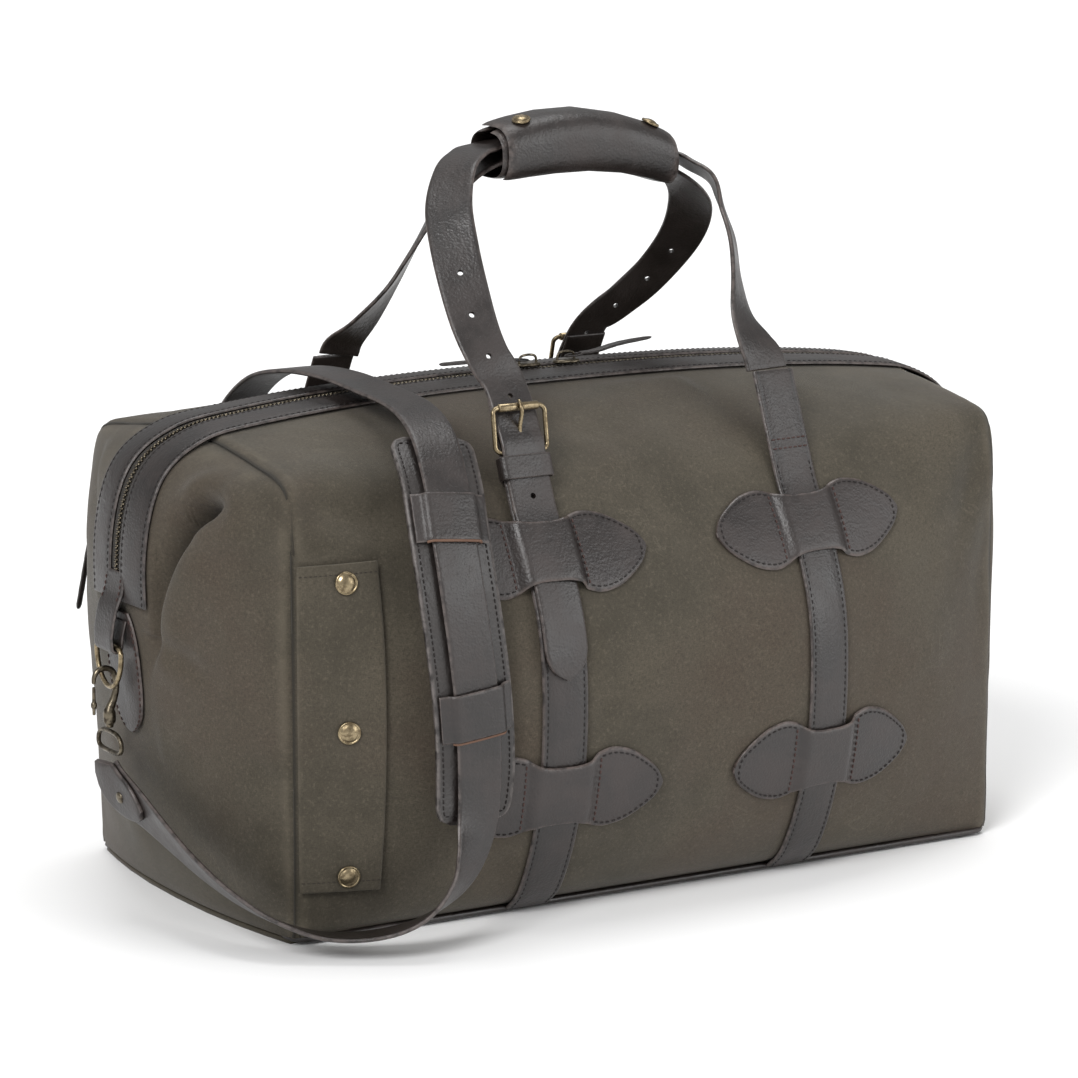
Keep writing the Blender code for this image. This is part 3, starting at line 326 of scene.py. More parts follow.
def canvas_material(name, dark, light, warm):
    """Waxed canvas: weave, slubs, blotches, paler cracked wax, dark seams and painted shade in the
    end's pocket fold.
    """
    paint = Paint(name)
    place = paint.place()
    cloth = paint.attribute("cloth", vector=True)
    blotch = paint.noise(place, 9.0, 5.0, 0.62, 0.4)
    mottle = paint.noise(place, 46.0, 5.0, 0.6, 0.3)
    tone = paint.mix(paint.ramp(blotch, 0.36, 0.66), dark, tuple(1.08 * c for c in light))
    tone = paint.mix(paint.ramp(paint.noise(place, 5.2, 3.0), 0.42, 0.62, 0.0, 0.9), tone, warm)
    tone = paint.mix(paint.ramp(mottle, 0.30, 0.72, 0.0, 0.45), tone, light)
    # Wax cracked along short creases, paler than the cloth.
    creased = paint.stretched(place, (1.0, 0.6, 1.7), (0.4, 0.3, 0.5))
    lines = paint.noise(creased, 17.0, 3.0, 0.5, 1.6)
    near = paint.math("ABSOLUTE", paint.math("SUBTRACT", lines, 0.5))
    where = paint.ramp(paint.noise(place, 7.0, 2.0), 0.52, 0.70)
    wax = paint.math("MULTIPLY", paint.ramp(near, 0.0, 0.016, 1.0, 0.0), where)
    tone = paint.mix(paint.math("MULTIPLY", wax, 0.30), tone, tuple(1.9 * c for c in light))
    # Warp and weft: two sets of threads, each uneven along its length.
    parts = paint.add("ShaderNodeSeparateXYZ")
    paint.link(cloth, parts.inputs["Vector"])
    rate = 2 * math.pi / THREAD
    warp = paint.math("SINE", paint.math("MULTIPLY", parts.outputs["X"], rate))
    weft = paint.math("SINE", paint.math("MULTIPLY", parts.outputs["Y"], rate))
    weave = paint.math("ADD", paint.math("MULTIPLY", paint.math("MULTIPLY", warp, weft), 0.5), 0.5)
    slub_a = paint.noise(paint.stretched(cloth, (1.0, 0.35, 1.0)), 1300.0, 2.0)
    slub_b = paint.noise(paint.stretched(cloth, (0.35, 1.0, 1.0)), 1300.0, 2.0)
    slub = paint.math("ADD", paint.math("MULTIPLY", slub_a, 0.5),
                      paint.math("MULTIPLY", slub_b, 0.5))
    tone = paint.mix(paint.ramp(slub, 0.36, 0.64, 0.0, 0.42), tone,
                     tuple(0.45 * c for c in dark))
    flecks = paint.noise(place, 420.0, 3.0, 0.6)
    tone = paint.mix(paint.ramp(flecks, 0.54, 0.72, 0.0, 0.30), tone, tuple(1.8 * c for c in light))
    tone = paint.mix(paint.ramp(flecks, 0.44, 0.32, 0.0, 0.40), tone, tuple(0.6 * c for c in dark))
    tone = paint.mix(paint.ramp(weave, 0.1, 0.9, 0.22, 0.0), tone, tuple(0.55 * c for c in dark))
    worn = paint.math("MULTIPLY", paint.attribute("edge"), paint.ramp(mottle, 0.35, 0.65, 0.3, 1.0))
    tone = paint.mix(paint.math("MULTIPLY", worn, 0.35), tone, tuple(1.5 * c for c in light))
    # Dark seams, and painted shade: where the edge attribute goes below zero the colour darkens, at
    # the seams and in the end's pocket fold, whose shade is painted in.
    seam_dark_and_painted_fold_shade = paint.ramp(paint.attribute("edge"), -1.0, 0.0, 0.8, 0.0)
    tone = paint.mix(seam_dark_and_painted_fold_shade, tone, tuple(0.25 * c for c in dark))
    paint.colour(tone)
    paint.roughness(paint.ramp(blotch, 0.3, 0.7, 0.72, 0.86))
    paint.set(Specular_IOR_Level=0.32, Sheen_Weight=0.10, Sheen_Roughness=0.5)
    paint.bump([
        (paint.noise(place, 30.0, 3.0, 0.5, 0.5), 0.0011, 0.35),
        (wax, 0.0004, 0.25),
        (slub, 0.0003, 0.5),
        (weave, 0.00022, 0.5),
    ])
    return paint.material


def leather_material(name, dark, light, worn, roughness=(0.36, 0.52), grain=1.0, specular=0.62):
    """Grained leather, worn pale at its edges and dark in its stitch lines."""
    paint = Paint(name)
    place = paint.place()
    cloud = paint.noise(place, 24.0, 4.0, 0.6, 0.4)
    tone = paint.mix(paint.ramp(cloud, 0.32, 0.70), dark, light)
    streak = paint.noise(paint.stretched(paint.attribute("cloth", vector=True), (0.10, 1.0, 1.0)),
                         260.0, 3.0)
    tone = paint.mix(paint.ramp(streak, 0.45, 0.75, 0.0, 0.40), tone, light)
    edge = paint.attribute("edge")
    wear = paint.math("MULTIPLY", edge, paint.ramp(paint.noise(place, 150.0, 3.0), 0.30, 0.62))
    tone = paint.mix(paint.math("MULTIPLY", wear, 0.75), tone, worn)
    tone = paint.mix(paint.ramp(edge, -1.0, 0.0, 0.85, 0.0), tone, tuple(0.3 * c for c in dark))
    pebbles = paint.cells(place, 620.0 / grain, "SMOOTH_F1")
    pores = paint.noise(place, 1500.0 / grain, 2.0)
    tone = paint.mix(paint.ramp(pebbles, 0.55, 0.95, 0.0, 0.35), tone,
                     tuple(0.5 * c for c in dark))
    paint.colour(tone)
    paint.roughness(paint.ramp(cloud, 0.3, 0.7, *roughness))
    paint.set(Specular_IOR_Level=specular, Coat_Weight=0.10, Coat_Roughness=0.35)
    paint.bump([
        (paint.noise(place, 90.0, 4.0, 0.55, 0.6), 0.0012, 0.40),
        (streak, 0.0004, 0.35),
        (pebbles, 0.0006, 0.40),
        (pores, 0.0003, 0.35),
    ])
    return paint.material


def metal_material(name, bright, patina, roughness):
    """Antiqued metal with patches of patina."""
    paint = Paint(name)
    place = paint.place()
    spots = paint.noise(place, 240.0, 4.0, 0.65, 0.3)
    tone = paint.mix(paint.ramp(spots, 0.42, 0.66), bright, patina)
    paint.colour(tone)
    paint.roughness(paint.ramp(spots, 0.35, 0.70, *roughness))
    paint.set(Metallic=1.0)
    paint.bump([(paint.noise(place, 900.0, 3.0), 0.0001, 0.35)])
    return paint.material


def thread_material(name, colour):
    """Twisted sewing thread."""
    paint = Paint(name)
    cloth = paint.attribute("cloth", vector=True)
    parts = paint.add("ShaderNodeSeparateXYZ")
    paint.link(cloth, parts.inputs["Vector"])
    turns = paint.math("ADD", paint.math("MULTIPLY", parts.outputs["X"], 9000.0),
                       paint.math("MULTIPLY", parts.outputs["Y"], 6.0))
    ply = paint.math("ADD", paint.math("MULTIPLY", paint.math("SINE", turns), 0.5), 0.5)
    paint.colour(paint.mix(ply, tuple(0.6 * c for c in colour), colour))
    paint.roughness(paint.ramp(ply, 0.0, 1.0, 0.75, 0.55))
    paint.bump([(ply, 0.0001, 0.6)])
    return paint.material


CANVAS_FINISH = canvas_material(
    "waxed_canvas", (0.050, 0.042, 0.028), (0.084, 0.071, 0.051), (0.074, 0.055, 0.039))
LEATHER_FINISH = leather_material(
    "dark_leather", (0.0085, 0.0058, 0.0050), (0.024, 0.017, 0.015), (0.110, 0.088, 0.080))
PATCH_FINISH = leather_material(
    "patch_leather", (0.011, 0.0075, 0.0066), (0.027, 0.019, 0.017), (0.105, 0.078, 0.068))
PAD_FINISH = leather_material(
    "pad_leather", (0.010, 0.007, 0.006), (0.020, 0.015, 0.013), (0.16, 0.140, 0.132),
    roughness=(0.38, 0.55), grain=1.3)
RAW_EDGE = leather_material(
    "raw_leather_edge", (0.115, 0.060, 0.038), (0.19, 0.115, 0.080), (0.24, 0.16, 0.12),
    roughness=(0.7, 0.85), grain=0.6, specular=0.3)
BRASS = metal_material(
    "antique_brass", (0.33, 0.265, 0.165), (0.15, 0.115, 0.070), (0.26, 0.46))
DARK_BRASS = metal_material(
    "dark_brass", (0.17, 0.145, 0.105), (0.055, 0.045, 0.034), (0.28, 0.50))
THREAD_FINISH = thread_material("brown_thread", (0.010, 0.006, 0.005))
RED_THREAD = thread_material("russet_thread", (0.060, 0.026, 0.021))
OLIVE_THREAD = thread_material("olive_thread", (0.030, 0.022, 0.016))
TAPE_FINISH = canvas_material(
    "zip_tape", (0.020, 0.017, 0.014), (0.034, 0.029, 0.024), (0.028, 0.023, 0.019))


# ---- meshes -------------------------------------------------------------------------------
def turn_out(mesh):
    """Turns every face of the mesh outwards."""
    work = bmesh.new()
    work.from_mesh(mesh)
    bmesh.ops.recalc_face_normals(work, faces=work.faces)
    work.to_mesh(mesh)
    work.free()


def piece(name, verts, faces, finish, body="root", stands_for=(), edge=None,
          cloth=None, sharp=None):
    """A mesh with its faces turned out, its finish, and the body that it rides on."""
    mesh = bpy.data.meshes.new(name)
    verts = np.asarray(verts, float).reshape(-1, 3)
    mesh.from_pydata(verts.tolist(), [], [list(map(int, f)) for f in faces])
    if edge is not None:
        mesh.attributes.new("edge", "FLOAT", "POINT").data.foreach_set(
            "value", np.asarray(edge, np.float32).ravel())
    if cloth is not None:
        mesh.attributes.new("cloth", "FLOAT_VECTOR", "POINT").data.foreach_set(
            "vector", np.asarray(cloth, np.float32).ravel())
    turn_out(mesh)
    mesh.materials.append(finish)
    mesh.shade_smooth()
    if sharp:
        mesh.set_sharp_from_angle(angle=math.radians(sharp))
    made = bpy.data.objects.new(name, mesh)
    bpy.context.scene.collection.objects.link(made)
    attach(made, body)
    if stands_for:
        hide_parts(*stands_for)
    return made


def ring_faces(rows, columns, closed=False, caps=True):
    """Quads of a tube of rows rings with columns points each."""
    i = np.arange(rows if closed else rows - 1)[:, None]
    j = np.arange(columns)[None]
    k, m = (i + 1) % rows, (j + 1) % columns
    quads = np.stack(np.broadcast_arrays(
        i * columns + j, i * columns + m, k * columns + m, k * columns + j), -1)
    faces = quads.reshape(-1, 4).tolist()
    if caps and not closed:
        faces.append(list(range(columns))[::-1])
        faces.append([(rows - 1) * columns + n for n in range(columns)])
    return faces


# Across a strap: the part of its half width, and the height of its face there as a part of
# its thickness. A sewn strap dips at its stitch lines.
ACROSS = np.array([-1, -0.972, -0.93, -0.87, -0.80, -0.72, -0.40, 0,
                   0.40, 0.72, 0.80, 0.87, 0.93, 0.972, 1])
PLAIN = np.array([-0.12, 0.24, 0.42, 0.48, 0.50, 0.50, 0.50, 0.50,
                  0.50, 0.50, 0.50, 0.48, 0.42, 0.24, -0.12])
SEWN = np.array([-0.12, 0.22, 0.40, 0.43, 0.33, 0.45, 0.50, 0.50,
                 0.50, 0.45, 0.33, 0.43, 0.40, 0.22, -0.12])
STITCH_LINES = (10, 4)      # the places in ACROSS of a sewn strap's two rows of stitches
MIDDLE_LINE = 7             # the place in ACROSS of its centre


def band(name, base, normals, thickness, lift=0.0, sewn=False, finish=None, body="root",
         stands_for=(), swell=0.0):
    """A leather strip on a grid of points, rows along it and one column for each of ACROSS.

    It lies lift above the grid, on the side of the normals, with its edges worn round.
    """
    heights = SEWN if sewn else PLAIN
    heights = heights + swell * (1 - ACROSS**2)
    low = np.where(np.abs(ACROSS) > 0.96, -0.40, -0.50)
    low[0], low[-1] = -0.12, -0.12
    middle = base + normals * (lift + thickness / 2)
    top = middle + normals * (heights * thickness)[None, :, None]
    under = middle + normals * (low * thickness)[None, :, None]
    rings = np.concatenate([top, under[:, -2:0:-1]], 1)
    core = np.concatenate([middle, middle[:, -2:0:-1]], 1)
    flow = tangents(middle[:, MIDDLE_LINE])
    ends = []
    for row, way in ((0, -1), (-1, 1)):
        squeezed = core[row] + (rings[row] - core[row]) * 0.45
        ends.append((squeezed + flow[row] * way * 0.0007)[None])
        ends.append((core[row] + (rings[row] - core[row]) * 0.86 + flow[row] * way * 0.0004)[None])
    rings = np.concatenate([ends[0], ends[1], rings, ends[3], ends[2]], 0)
    along = lengths(rings[:, MIDDLE_LINE])
    half = np.linalg.norm(base[:, -1] - base[:, 0], axis=-1).max() / 2
    part = np.concatenate([ACROSS, ACROSS[-2:0:-1]])
    edge = np.broadcast_to(smoothstep(np.abs(part), 0.90, 0.985), rings.shape[:2]).copy()
    edge[:2], edge[-2:] = 1.0, 1.0
    edge[:, len(ACROSS):] *= 0.4
    if sewn:
        edge[:, STITCH_LINES] = -1.0
    cloth = np.zeros(rings.shape)
    cloth[..., 0] = along[:, None]
    cloth[..., 1] = (part * half)[None]
    return piece(name, rings, ring_faces(*rings.shape[:2]), finish or LEATHER_FINISH, body,
                 stands_for, edge, cloth, sharp=48)


def strap_grid(centres, sides, widths):
    """The grid of a free strap along centres, its width along sides."""
    flow = tangents(centres)
    sides = unit(sides - flow * (sides * flow).sum(-1, keepdims=True))
    faces = np.cross(sides, flow)
    base = centres[:, None] + sides[:, None] * (np.asarray(widths)[:, None, None] / 2
                                                * ACROSS[None, :, None])
    return base, np.broadcast_to(faces[:, None], base.shape)


SEAMS = {}                  # stitches by piece: (name, body, finish) to lists of rows


def sew(group, body, finish, line, normals, pitch=0.0046, length=0.0032, radius=0.00056):
    """Adds a row of stitches along a line on a surface."""
    line, normals = resampled(np.asarray(line), pitch, np.asarray(normals))
    centres = (line[:-1] + line[1:]) / 2
    along = unit(line[1:] - line[:-1])
    up = unit(normals[:-1] + normals[1:])
    up = unit(up - along * (up * along).sum(-1, keepdims=True))
    across = np.cross(up, along)
    rows = np.array([-0.5, -0.36, 0.0, 0.36, 0.5]) * length
    sizes = np.array([0.25, 0.85, 1.0, 0.85, 0.25]) * radius
    sink = np.array([-1.0, 0.15, 0.45, 0.15, -1.0]) * radius
    angles = 2 * np.pi * np.arange(6) / 6
    around = np.stack([np.cos(angles), np.sin(angles)], -1)
    points = (centres[:, None, None]
              + along[:, None, None] * rows[None, :, None, None]
              + up[:, None, None] * (sink[:, None] + sizes[:, None] * around[None, :, 1])[..., None]
              + across[:, None, None] * (sizes[:, None] * around[None, :, 0])[..., None])
    cloth = np.zeros(points.shape)
    cloth[..., 0] = rows[None, :, None]
    cloth[..., 1] = angles[None, None]
    SEAMS.setdefault((group, body, finish.name), []).append((points, cloth))


def make_seams():
    """One piece for each group of stitches."""
    one = ring_faces(5, 6)
    for (group, body, finish), rows in SEAMS.items():
        points = np.concatenate([p for p, _ in rows])
        cloth = np.concatenate([c for _, c in rows])
        count = len(points)
        faces = [[v + 30 * n for v in face] for n in range(count) for face in one]
        piece(group, points, faces, bpy.data.materials[finish], body, cloth=cloth)


# ---- canvas -------------------------------------------------------------------------------
def rumple(points, size, seed):
    """Smooth noise from about -1 to 1 at each point, its bumps about size metres across."""
    flat = points.reshape(-1, 3) / size
    found = [noise.noise(Vector((p[0] + seed, p[1] - seed, p[2] + 0.5 * seed))) for p in flat]
    return np.array(found).reshape(points.shape[:-1])


def crease(u, v, start, end, depth, wide, narrow, ridge=0.0, fade=0.25):
    """Height of a fold from start to end in a plane: wide on its right side, steep on its left."""
    start, end = np.array(start, float), np.array(end, float)
    way = end - start
    reach = np.linalg.norm(way)
    way = way / reach
    du, dv = u - start[0], v - start[1]
    t = (du * way[0] + dv * way[1]) / reach
    d = du * way[1] - dv * way[0]
    taper = smoothstep(t, -fade, fade) * (1 - smoothstep(t, 0.35, 1.1))
    width = np.where(d > 0, wide, narrow)
    dip = -depth * np.exp(-((d / width) ** 2))
    lip = ridge * np.exp(-(((d + 2.0 * narrow) / (1.3 * narrow)) ** 2))
    return taper * (dip + lip)


def sheet(name, points, normals, finish, stands_for, edge, cloth, keep=None, thickness=CANVAS):
    """Canvas between a grid of points and the same points moved in by its thickness."""
    rows, columns = points.shape[:2]
    verts = np.concatenate([points.reshape(-1, 3), (points - normals * thickness).reshape(-1, 3)])
    cells = np.ones((rows - 1, columns - 1), bool) if keep is None else keep
    layer = rows * columns
    faces = []
    rim = {}
    for i, j in np.argwhere(cells):
        here, above = i * columns + j, (i + 1) * columns + j
        ring = [here, above, above + 1, here + 1]
        faces.append(ring)
        faces.append([v + layer for v in ring[::-1]])
        for a, b in zip(ring, ring[1:] + ring[:1]):
            rim[a, b] = True
    for a, b in rim:
        if (b, a) not in rim:
            faces.append([b, a, a + layer, b + layer])
    used = np.unique(np.concatenate([np.array(f) for f in faces]))
    number = np.full(2 * layer, -1)
    number[used] = np.arange(len(used))
    faces = [[number[v] for v in f] for f in faces]
    both = np.concatenate([edge.ravel(), edge.ravel()])[used]
    lay = np.concatenate([cloth.reshape(-1, 3)] * 2)[used]
    return piece(name, verts[used], faces, finish, "root", stands_for, both, lay,
                 sharp=60)


FOLD_DEPTH, FOLD_LIP, FOLD_ROLL, FOLD_LEAN = 0.034, 0.0045, 0.0065, 0.0060


def pocket_fold(u, v, start, end):
    """A fold whose one side tucks under the other, deepest at its start, under a roll of cloth.

    Gives its height, how far its lip leans over in the plane, the lean's direction, and the shade
    that is painted into the canvas colour in the fold.
    """
    start, end = np.array(start, float), np.array(end, float)
    way = end - start
    reach = np.linalg.norm(way)
    way = way / reach
    du, dv = u - start[0], v - start[1]
    t = (du * way[0] + dv * way[1]) / reach
    inside = np.clip(t, 0, 1)
    d = du * way[1] - dv * way[0] + 0.030 * inside * (1 - inside)
    strength = smoothstep(t, -0.14, 0.06) * (1 - 0.80 * smoothstep(t, 0.0, 0.9))
    strength = strength * (1 - smoothstep(t, 0.85, 1.3))
    wide = 0.019 - 0.007 * inside
    tucked = np.where(d < 0, np.exp(-((d / wide) ** 2)), np.exp(-((d / 0.0040) ** 2)))
    lip = FOLD_LIP * np.exp(-(((d - 0.012) / 0.012) ** 2)) * smoothstep(t, -0.1, 0.15)
    lip = lip * (1 - smoothstep(t, 0.5, 1.1))
    away = np.hypot((t + 0.02) * reach, d + 0.004)
    ring = np.exp(-(((away - 0.022) / 0.010) ** 2))
    roll = FOLD_ROLL * ring * (1 - smoothstep(t, -0.05, 0.25))
    lean = FOLD_LEAN * strength * np.exp(-(((d - 0.005) / 0.006) ** 2))
    # Painted shade: how strongly the canvas colour is darkened inside the fold.
    shade = strength * np.exp(-(((d + 0.005) / 0.0085) ** 2))
    return lip + roll - FOLD_DEPTH * strength * tucked, lean, way, shade


def canvas_walls():
    """The front and back, with their rumples, and soft folds from the corners."""
    xs = HALF_LENGTH * np.sin(np.pi / 2 * np.linspace(-1, 1, 181)) * 0.35
    xs = xs + np.linspace(-1, 1, 181) * HALF_LENGTH * 0.65
    steps = np.linspace(0, 1, 151)
    x, s = np.meshgrid(xs, steps, indexing="ij")
    for side, name, node in ((-1, "front_canvas", "front_panel"), (1, "back_canvas", "back_panel")):
        p = wall(side, x, s)
        n = wall_normal(side, x, s)
        seam = HALF_LENGTH - np.abs(x)
        z = p[..., 2]
        clear = smoothstep(np.abs(np.abs(x) - STRAP_X), 0.019, 0.034)
        for middle in (0.257, 0.094):
            near = np.maximum(np.abs(np.abs(x) - STRAP_X) / 0.085, np.abs(z - middle) / 0.036)
            clear = clear * smoothstep(near, 1.0, 1.35)
        clear = clear * smoothstep(np.abs(p[..., 1]), 0.040, 0.060) * smoothstep(z, 0.006, 0.05)
        if side < 0:
            clear = clear * (1 - (x < -0.222) * (z < 0.270) * 0.85)
        else:
            clear = clear * (1 - (x < -0.262) * (z < 0.280) * 0.9)
        height = clear * (0.0034 * rumple(p, 0.115, 3.1) + 0.0013 * rumple(p, 0.043, 7.7)
                          + 0.00035 * rumple(p, 0.016, 1.9))
        # The cloth hangs from the ear at each end, and pulls in soft folds away from it.
        folds = crease(x, z, (-0.282, 0.305), (-0.205, 0.286), 0.0062, 0.014, 0.010, 0.0016)
        folds += crease(x, z, (-0.286, 0.286), (-0.236, 0.236), 0.0046, 0.013, 0.009, 0.0012)
        folds += crease(x, z, (0.280, 0.300), (0.236, 0.215), 0.0044, 0.014, 0.011, 0.0012)
        folds += crease(x, z, (0.284, 0.250), (0.262, 0.120), 0.0022, 0.012, 0.012, 0.0008)
        height += folds * clear
        # Sewn edges turn in.
        height -= 0.0026 * np.exp(-((seam / 0.0032) ** 2))
        height -= 0.0016 * np.exp(-(((z - 0.0055) / 0.0035) ** 2))
        p = p + n * height[..., None]
        p[..., 0] = np.clip(p[..., 0], -HALF_LENGTH, HALF_LENGTH)
        p[..., 2] = np.maximum(p[..., 2], 0.0045)
        up = np.cumsum(np.linalg.norm(np.diff(p, axis=1, prepend=p[:, :1]), axis=-1), 1)
        cloth = np.stack([x, up, np.zeros_like(x)], -1)
        edge = np.exp(-((seam - 0.006) / 0.0035) ** 2) - 1.2 * np.exp(-((seam / 0.0022) ** 2))
        sheet(name, p, n, CANVAS_FINISH, [node], edge, cloth)


def canvas_ends():
    """The two ends, each open along the zip, with the sunk corner of the left one."""
    inset = 0.0006
    half = HALF_DEPTH - inset
    t = np.linspace(-1, 1, 141)
    ys = half * (0.75 * t + 0.25 * np.sin(np.pi / 2 * t))
    ys = np.sort(np.concatenate([ys, [-0.0076, 0.0076], np.linspace(-0.1137, -0.0413, 61)]))
    levels = np.linspace(0, 1, 150)
    levels = 0.8 * levels + 0.2 * np.sin(np.pi / 2 * levels)
    levels = np.sort(np.concatenate([levels, np.linspace(0.5713, 0.9317, 81)]))
    y, v = np.meshgrid(ys, levels, indexing="ij")
    middle = (ys[:-1] + ys[1:]) / 2
    keep = ~((np.abs(middle) < 0.0076)[:, None] & ((levels[:-1] > 0.5)[None]))
    for side, name in ((-1, "left"), (1, "right")):
        p = end_wall(side, y, v, inset, 0.0042)
        n = grid_normals(p, (side, 0, 0))
        z = p[..., 2]
        seam = np.minimum(half - np.abs(y), arch_height(y) - z)
        clear = smoothstep(np.abs(y), 0.041, 0.056) + smoothstep(-z, -0.215, -0.195)
        clear = np.clip(clear, 0, 1) * smoothstep(seam, 0.0, 0.03) * smoothstep(z, 0.006, 0.05)
        tab = np.maximum(np.abs(y) / 0.027, np.abs(z - 0.168) / 0.045)
        clear = clear * smoothstep(tab, 1.0, 1.5)
        height = clear * (0.0030 * rumple(p, 0.10, 5.3) + 0.0011 * rumple(p, 0.037, 2.2)
                          + 0.0003 * rumple(p, 0.015, 8.8))
        # The top corners have sunk: a deep pocket under a soft roll at the front left one.
        deep = 1.0 if side < 0 else 0.35
        fold, lean, way, shade = pocket_fold(y, z, (-0.094, 0.290), (-0.042, 0.190))
        height += deep * fold
        height += 0.3 * crease(-y, z, (-0.100, 0.305), (-0.048, 0.230), 0.022, 0.026, 0.012, 0.005,
                               0.2)
        height += crease(y, z, (-0.046, 0.196), (-0.105, 0.176), 0.0040, 0.010, 0.007, 0.0014)
        height += crease(y, z, (-0.150, 0.266), (-0.095, 0.250), 0.0035, 0.012, 0.010, 0.0010)
        height += crease(y, z, (-0.148, 0.110), (-0.110, 0.126), 0.0022, 0.010, 0.008, 0.0008)
        under_facing = smoothstep(np.abs(y), 0.038, 0.047) + (z < 0.2)
        height = height * np.clip(under_facing, 0, 1) * smoothstep(seam, 0.0, 0.022)
        height -= 0.0030 * np.exp(-((seam / 0.0034) ** 2))
        height -= 0.0016 * np.exp(-(((z - 0.0045) / 0.0035) ** 2))
        p = p + n * height[..., None]
        p[..., 1] -= deep * lean * way[1]
        p[..., 2] += deep * lean * way[0]
        p[..., 0] = side * np.maximum(np.abs(p[..., 0]), HALF_LENGTH - 0.034)
        p[..., 2] = np.maximum(p[..., 2], 0.0042)
        up = np.cumsum(np.linalg.norm(np.diff(p, axis=1, prepend=p[:, :1]), axis=-1), 1)
        cloth = np.stack([y, up, np.zeros_like(y)], -1)
        edge = np.exp(-((seam - 0.006) / 0.0035) ** 2) - 1.2 * np.exp(-((seam / 0.0022) ** 2))
        # Painted shade: the pocket fold's shade is taken off the edge attribute, which darkens the
        # canvas colour in the fold.
        edge = edge - deep**2 * shade
        sheet(f"{name}_end_canvas", p, n, CANVAS_FINISH, [f"{name}_end_panel"], edge, cloth, keep)


# ---- zip and facings ----------------------------------------------------------------------
def ridge(ys, sign, reach):
    """Lines along the bag's top at each of ys, from one end over to the other."""
    v = np.linspace(reach, 0.975, 60)
    x = np.linspace(-HALF_LENGTH + 0.001, HALF_LENGTH - 0.001, 150)
    rows, normals = [], []
    for y in ys:
        side = sign
        left = end_wall(-1, side * y, v)
        s = solve(lambda q: np.abs(wall(side, x, q)[..., 1]) > max(y, ZIP_HALF), x.shape)
        top = wall(side, x, s)
        top[:, 1] = side * y
        right = end_wall(1, side * y, v[::-1])
        line = np.concatenate([left, top, right])
        facing = np.concatenate([end_normal(-1, side * y, v), wall_normal(side, x, s),
                                 end_normal(1, side * y, v[::-1])])
        line, facing = resampled(line, 0.004, facing)
        rows.append(line)
        normals.append(facing)
    count = min(len(r) for r in rows)
    rows = [resampled(r, lengths(r)[-1] / (count - 1), n) for r, n in zip(rows, normals)]
    line = softened(np.stack([r[0][:count] for r in rows], 1), 10)
    facing = unit(softened(np.stack([r[1][:count] for r in rows], 1), 10))
    return line, facing


def facings():
    """The sewn leather strips on both sides of the zip."""
    for side, name in ((-1, "front"), (1, "back")):
        ys = ZIP_HALF - 0.0006 + (FACING_WIDTH + 0.0012) * (ACROSS + 1) / 2
        line, normals = ridge(ys, side, 0.50)
        band(f"{name}_zip_facing", line, normals, LEATHER, 0.0012, sewn=True,
             stands_for=[f"{name}_facing"])
        for column in STITCH_LINES:
            row = line[:, column] + normals[:, column] * (0.0012 + LEATHER * 0.83)
            sew(f"{name}_facing_stitches", "root", THREAD_FINISH, row, normals[:, column])


def zipper():
    """The zip: its cloth, and its teeth as one piece."""
    line, normals = ridge(np.array([0.0]), 1, 0.55)
    line, normals = line[:, 0], normals[:, 0]
    line[:, 1] = 0.0
    normals = unit(normals * np.array([1, 0, 1]))
    across = np.broadcast_to(np.array([0.0, 1.0, 0.0]), line.shape)
    base, faces = strap_grid(line, across, np.full(len(line), 0.0166))
    faces = np.broadcast_to(normals[:, None], base.shape)
    band("zip_cloth", base, faces, 0.0008, 0.0002, finish=TAPE_FINISH,
         stands_for=["zip_tape"])
    points, normals = resampled(line, 0.0016, normals)
    flow = tangents(points)
    verts, faces = [], []
    box = np.array([(u, w, h) for u in (-1, 1) for w in (0, 1) for h in (-1, 1)], float)
    quads = [(0, 1, 3, 2), (4, 6, 7, 5), (0, 4, 5, 1), (2, 3, 7, 6), (0, 2, 6, 4), (1, 5, 7, 3)]
    for k, (point, up, along) in enumerate(zip(points, normals, flow)):
        way = 1 if k % 2 else -1
        for u, w, h in box:
            verts.append(point + along * u * 0.00052 + np.array([0, way, 0]) * (w * 0.0030 - 0.0006)
                         + up * (0.0019 + 0.0009 * h - 0.0003 * w))
        faces += [[8 * k + q for q in quad] for quad in quads]
    piece("zip_teeth", verts, faces, DARK_BRASS, "root")


# ---- straps on the faces ------------------------------------------------------------------
def outward(side, flow):
    """The direction across a strap that points away from the bag."""
    face = unit(np.cross((1.0, 0, 0), flow))
    return face * np.where(face[..., 1:2] * side > 0, 1, -1)


def base_strap(name, side, x, pivot, top_gap, node):
    """A strap sewn up the face, free above the upper patch, ending just under the pivot."""
    half = STRAP_WIDTH / 2
    columns = []
    for k in ACROSS:
        first = wall_at_height(side, x, 0.0065)
        last = wall_at_height(side, x, 0.284)
        s = np.linspace(first, last, 90)
        on = wall(side, x + k * half, s) + wall_normal(side, x + k * half, s) * GAP
        end = np.array((x + k * half, pivot[0], pivot[1]))
        away = unit(on[-1] - end)
        stop = end + away * top_gap
        free = np.array([stop + (on[-1] - stop) * q for q in np.linspace(0.94, 0, 24)])
        columns.append(softened(np.concatenate([on, free]), 6))
    base = np.stack(columns, 1)
    flow = tangents(base[:, MIDDLE_LINE])
    normals = np.broadcast_to(outward(side, flow)[:, None], base.shape)
    band(name, base, normals, STRAP_LEATHER, 0.0, sewn=True, stands_for=[node])
    for column in STITCH_LINES:
        row = base[:, column] + normals[:, column] * STRAP_LEATHER * 0.83
        row, up = row[:94], normals[:94, column]
        sew(name + "_stitches", "root", THREAD_FINISH, row, up)
    return base, normals


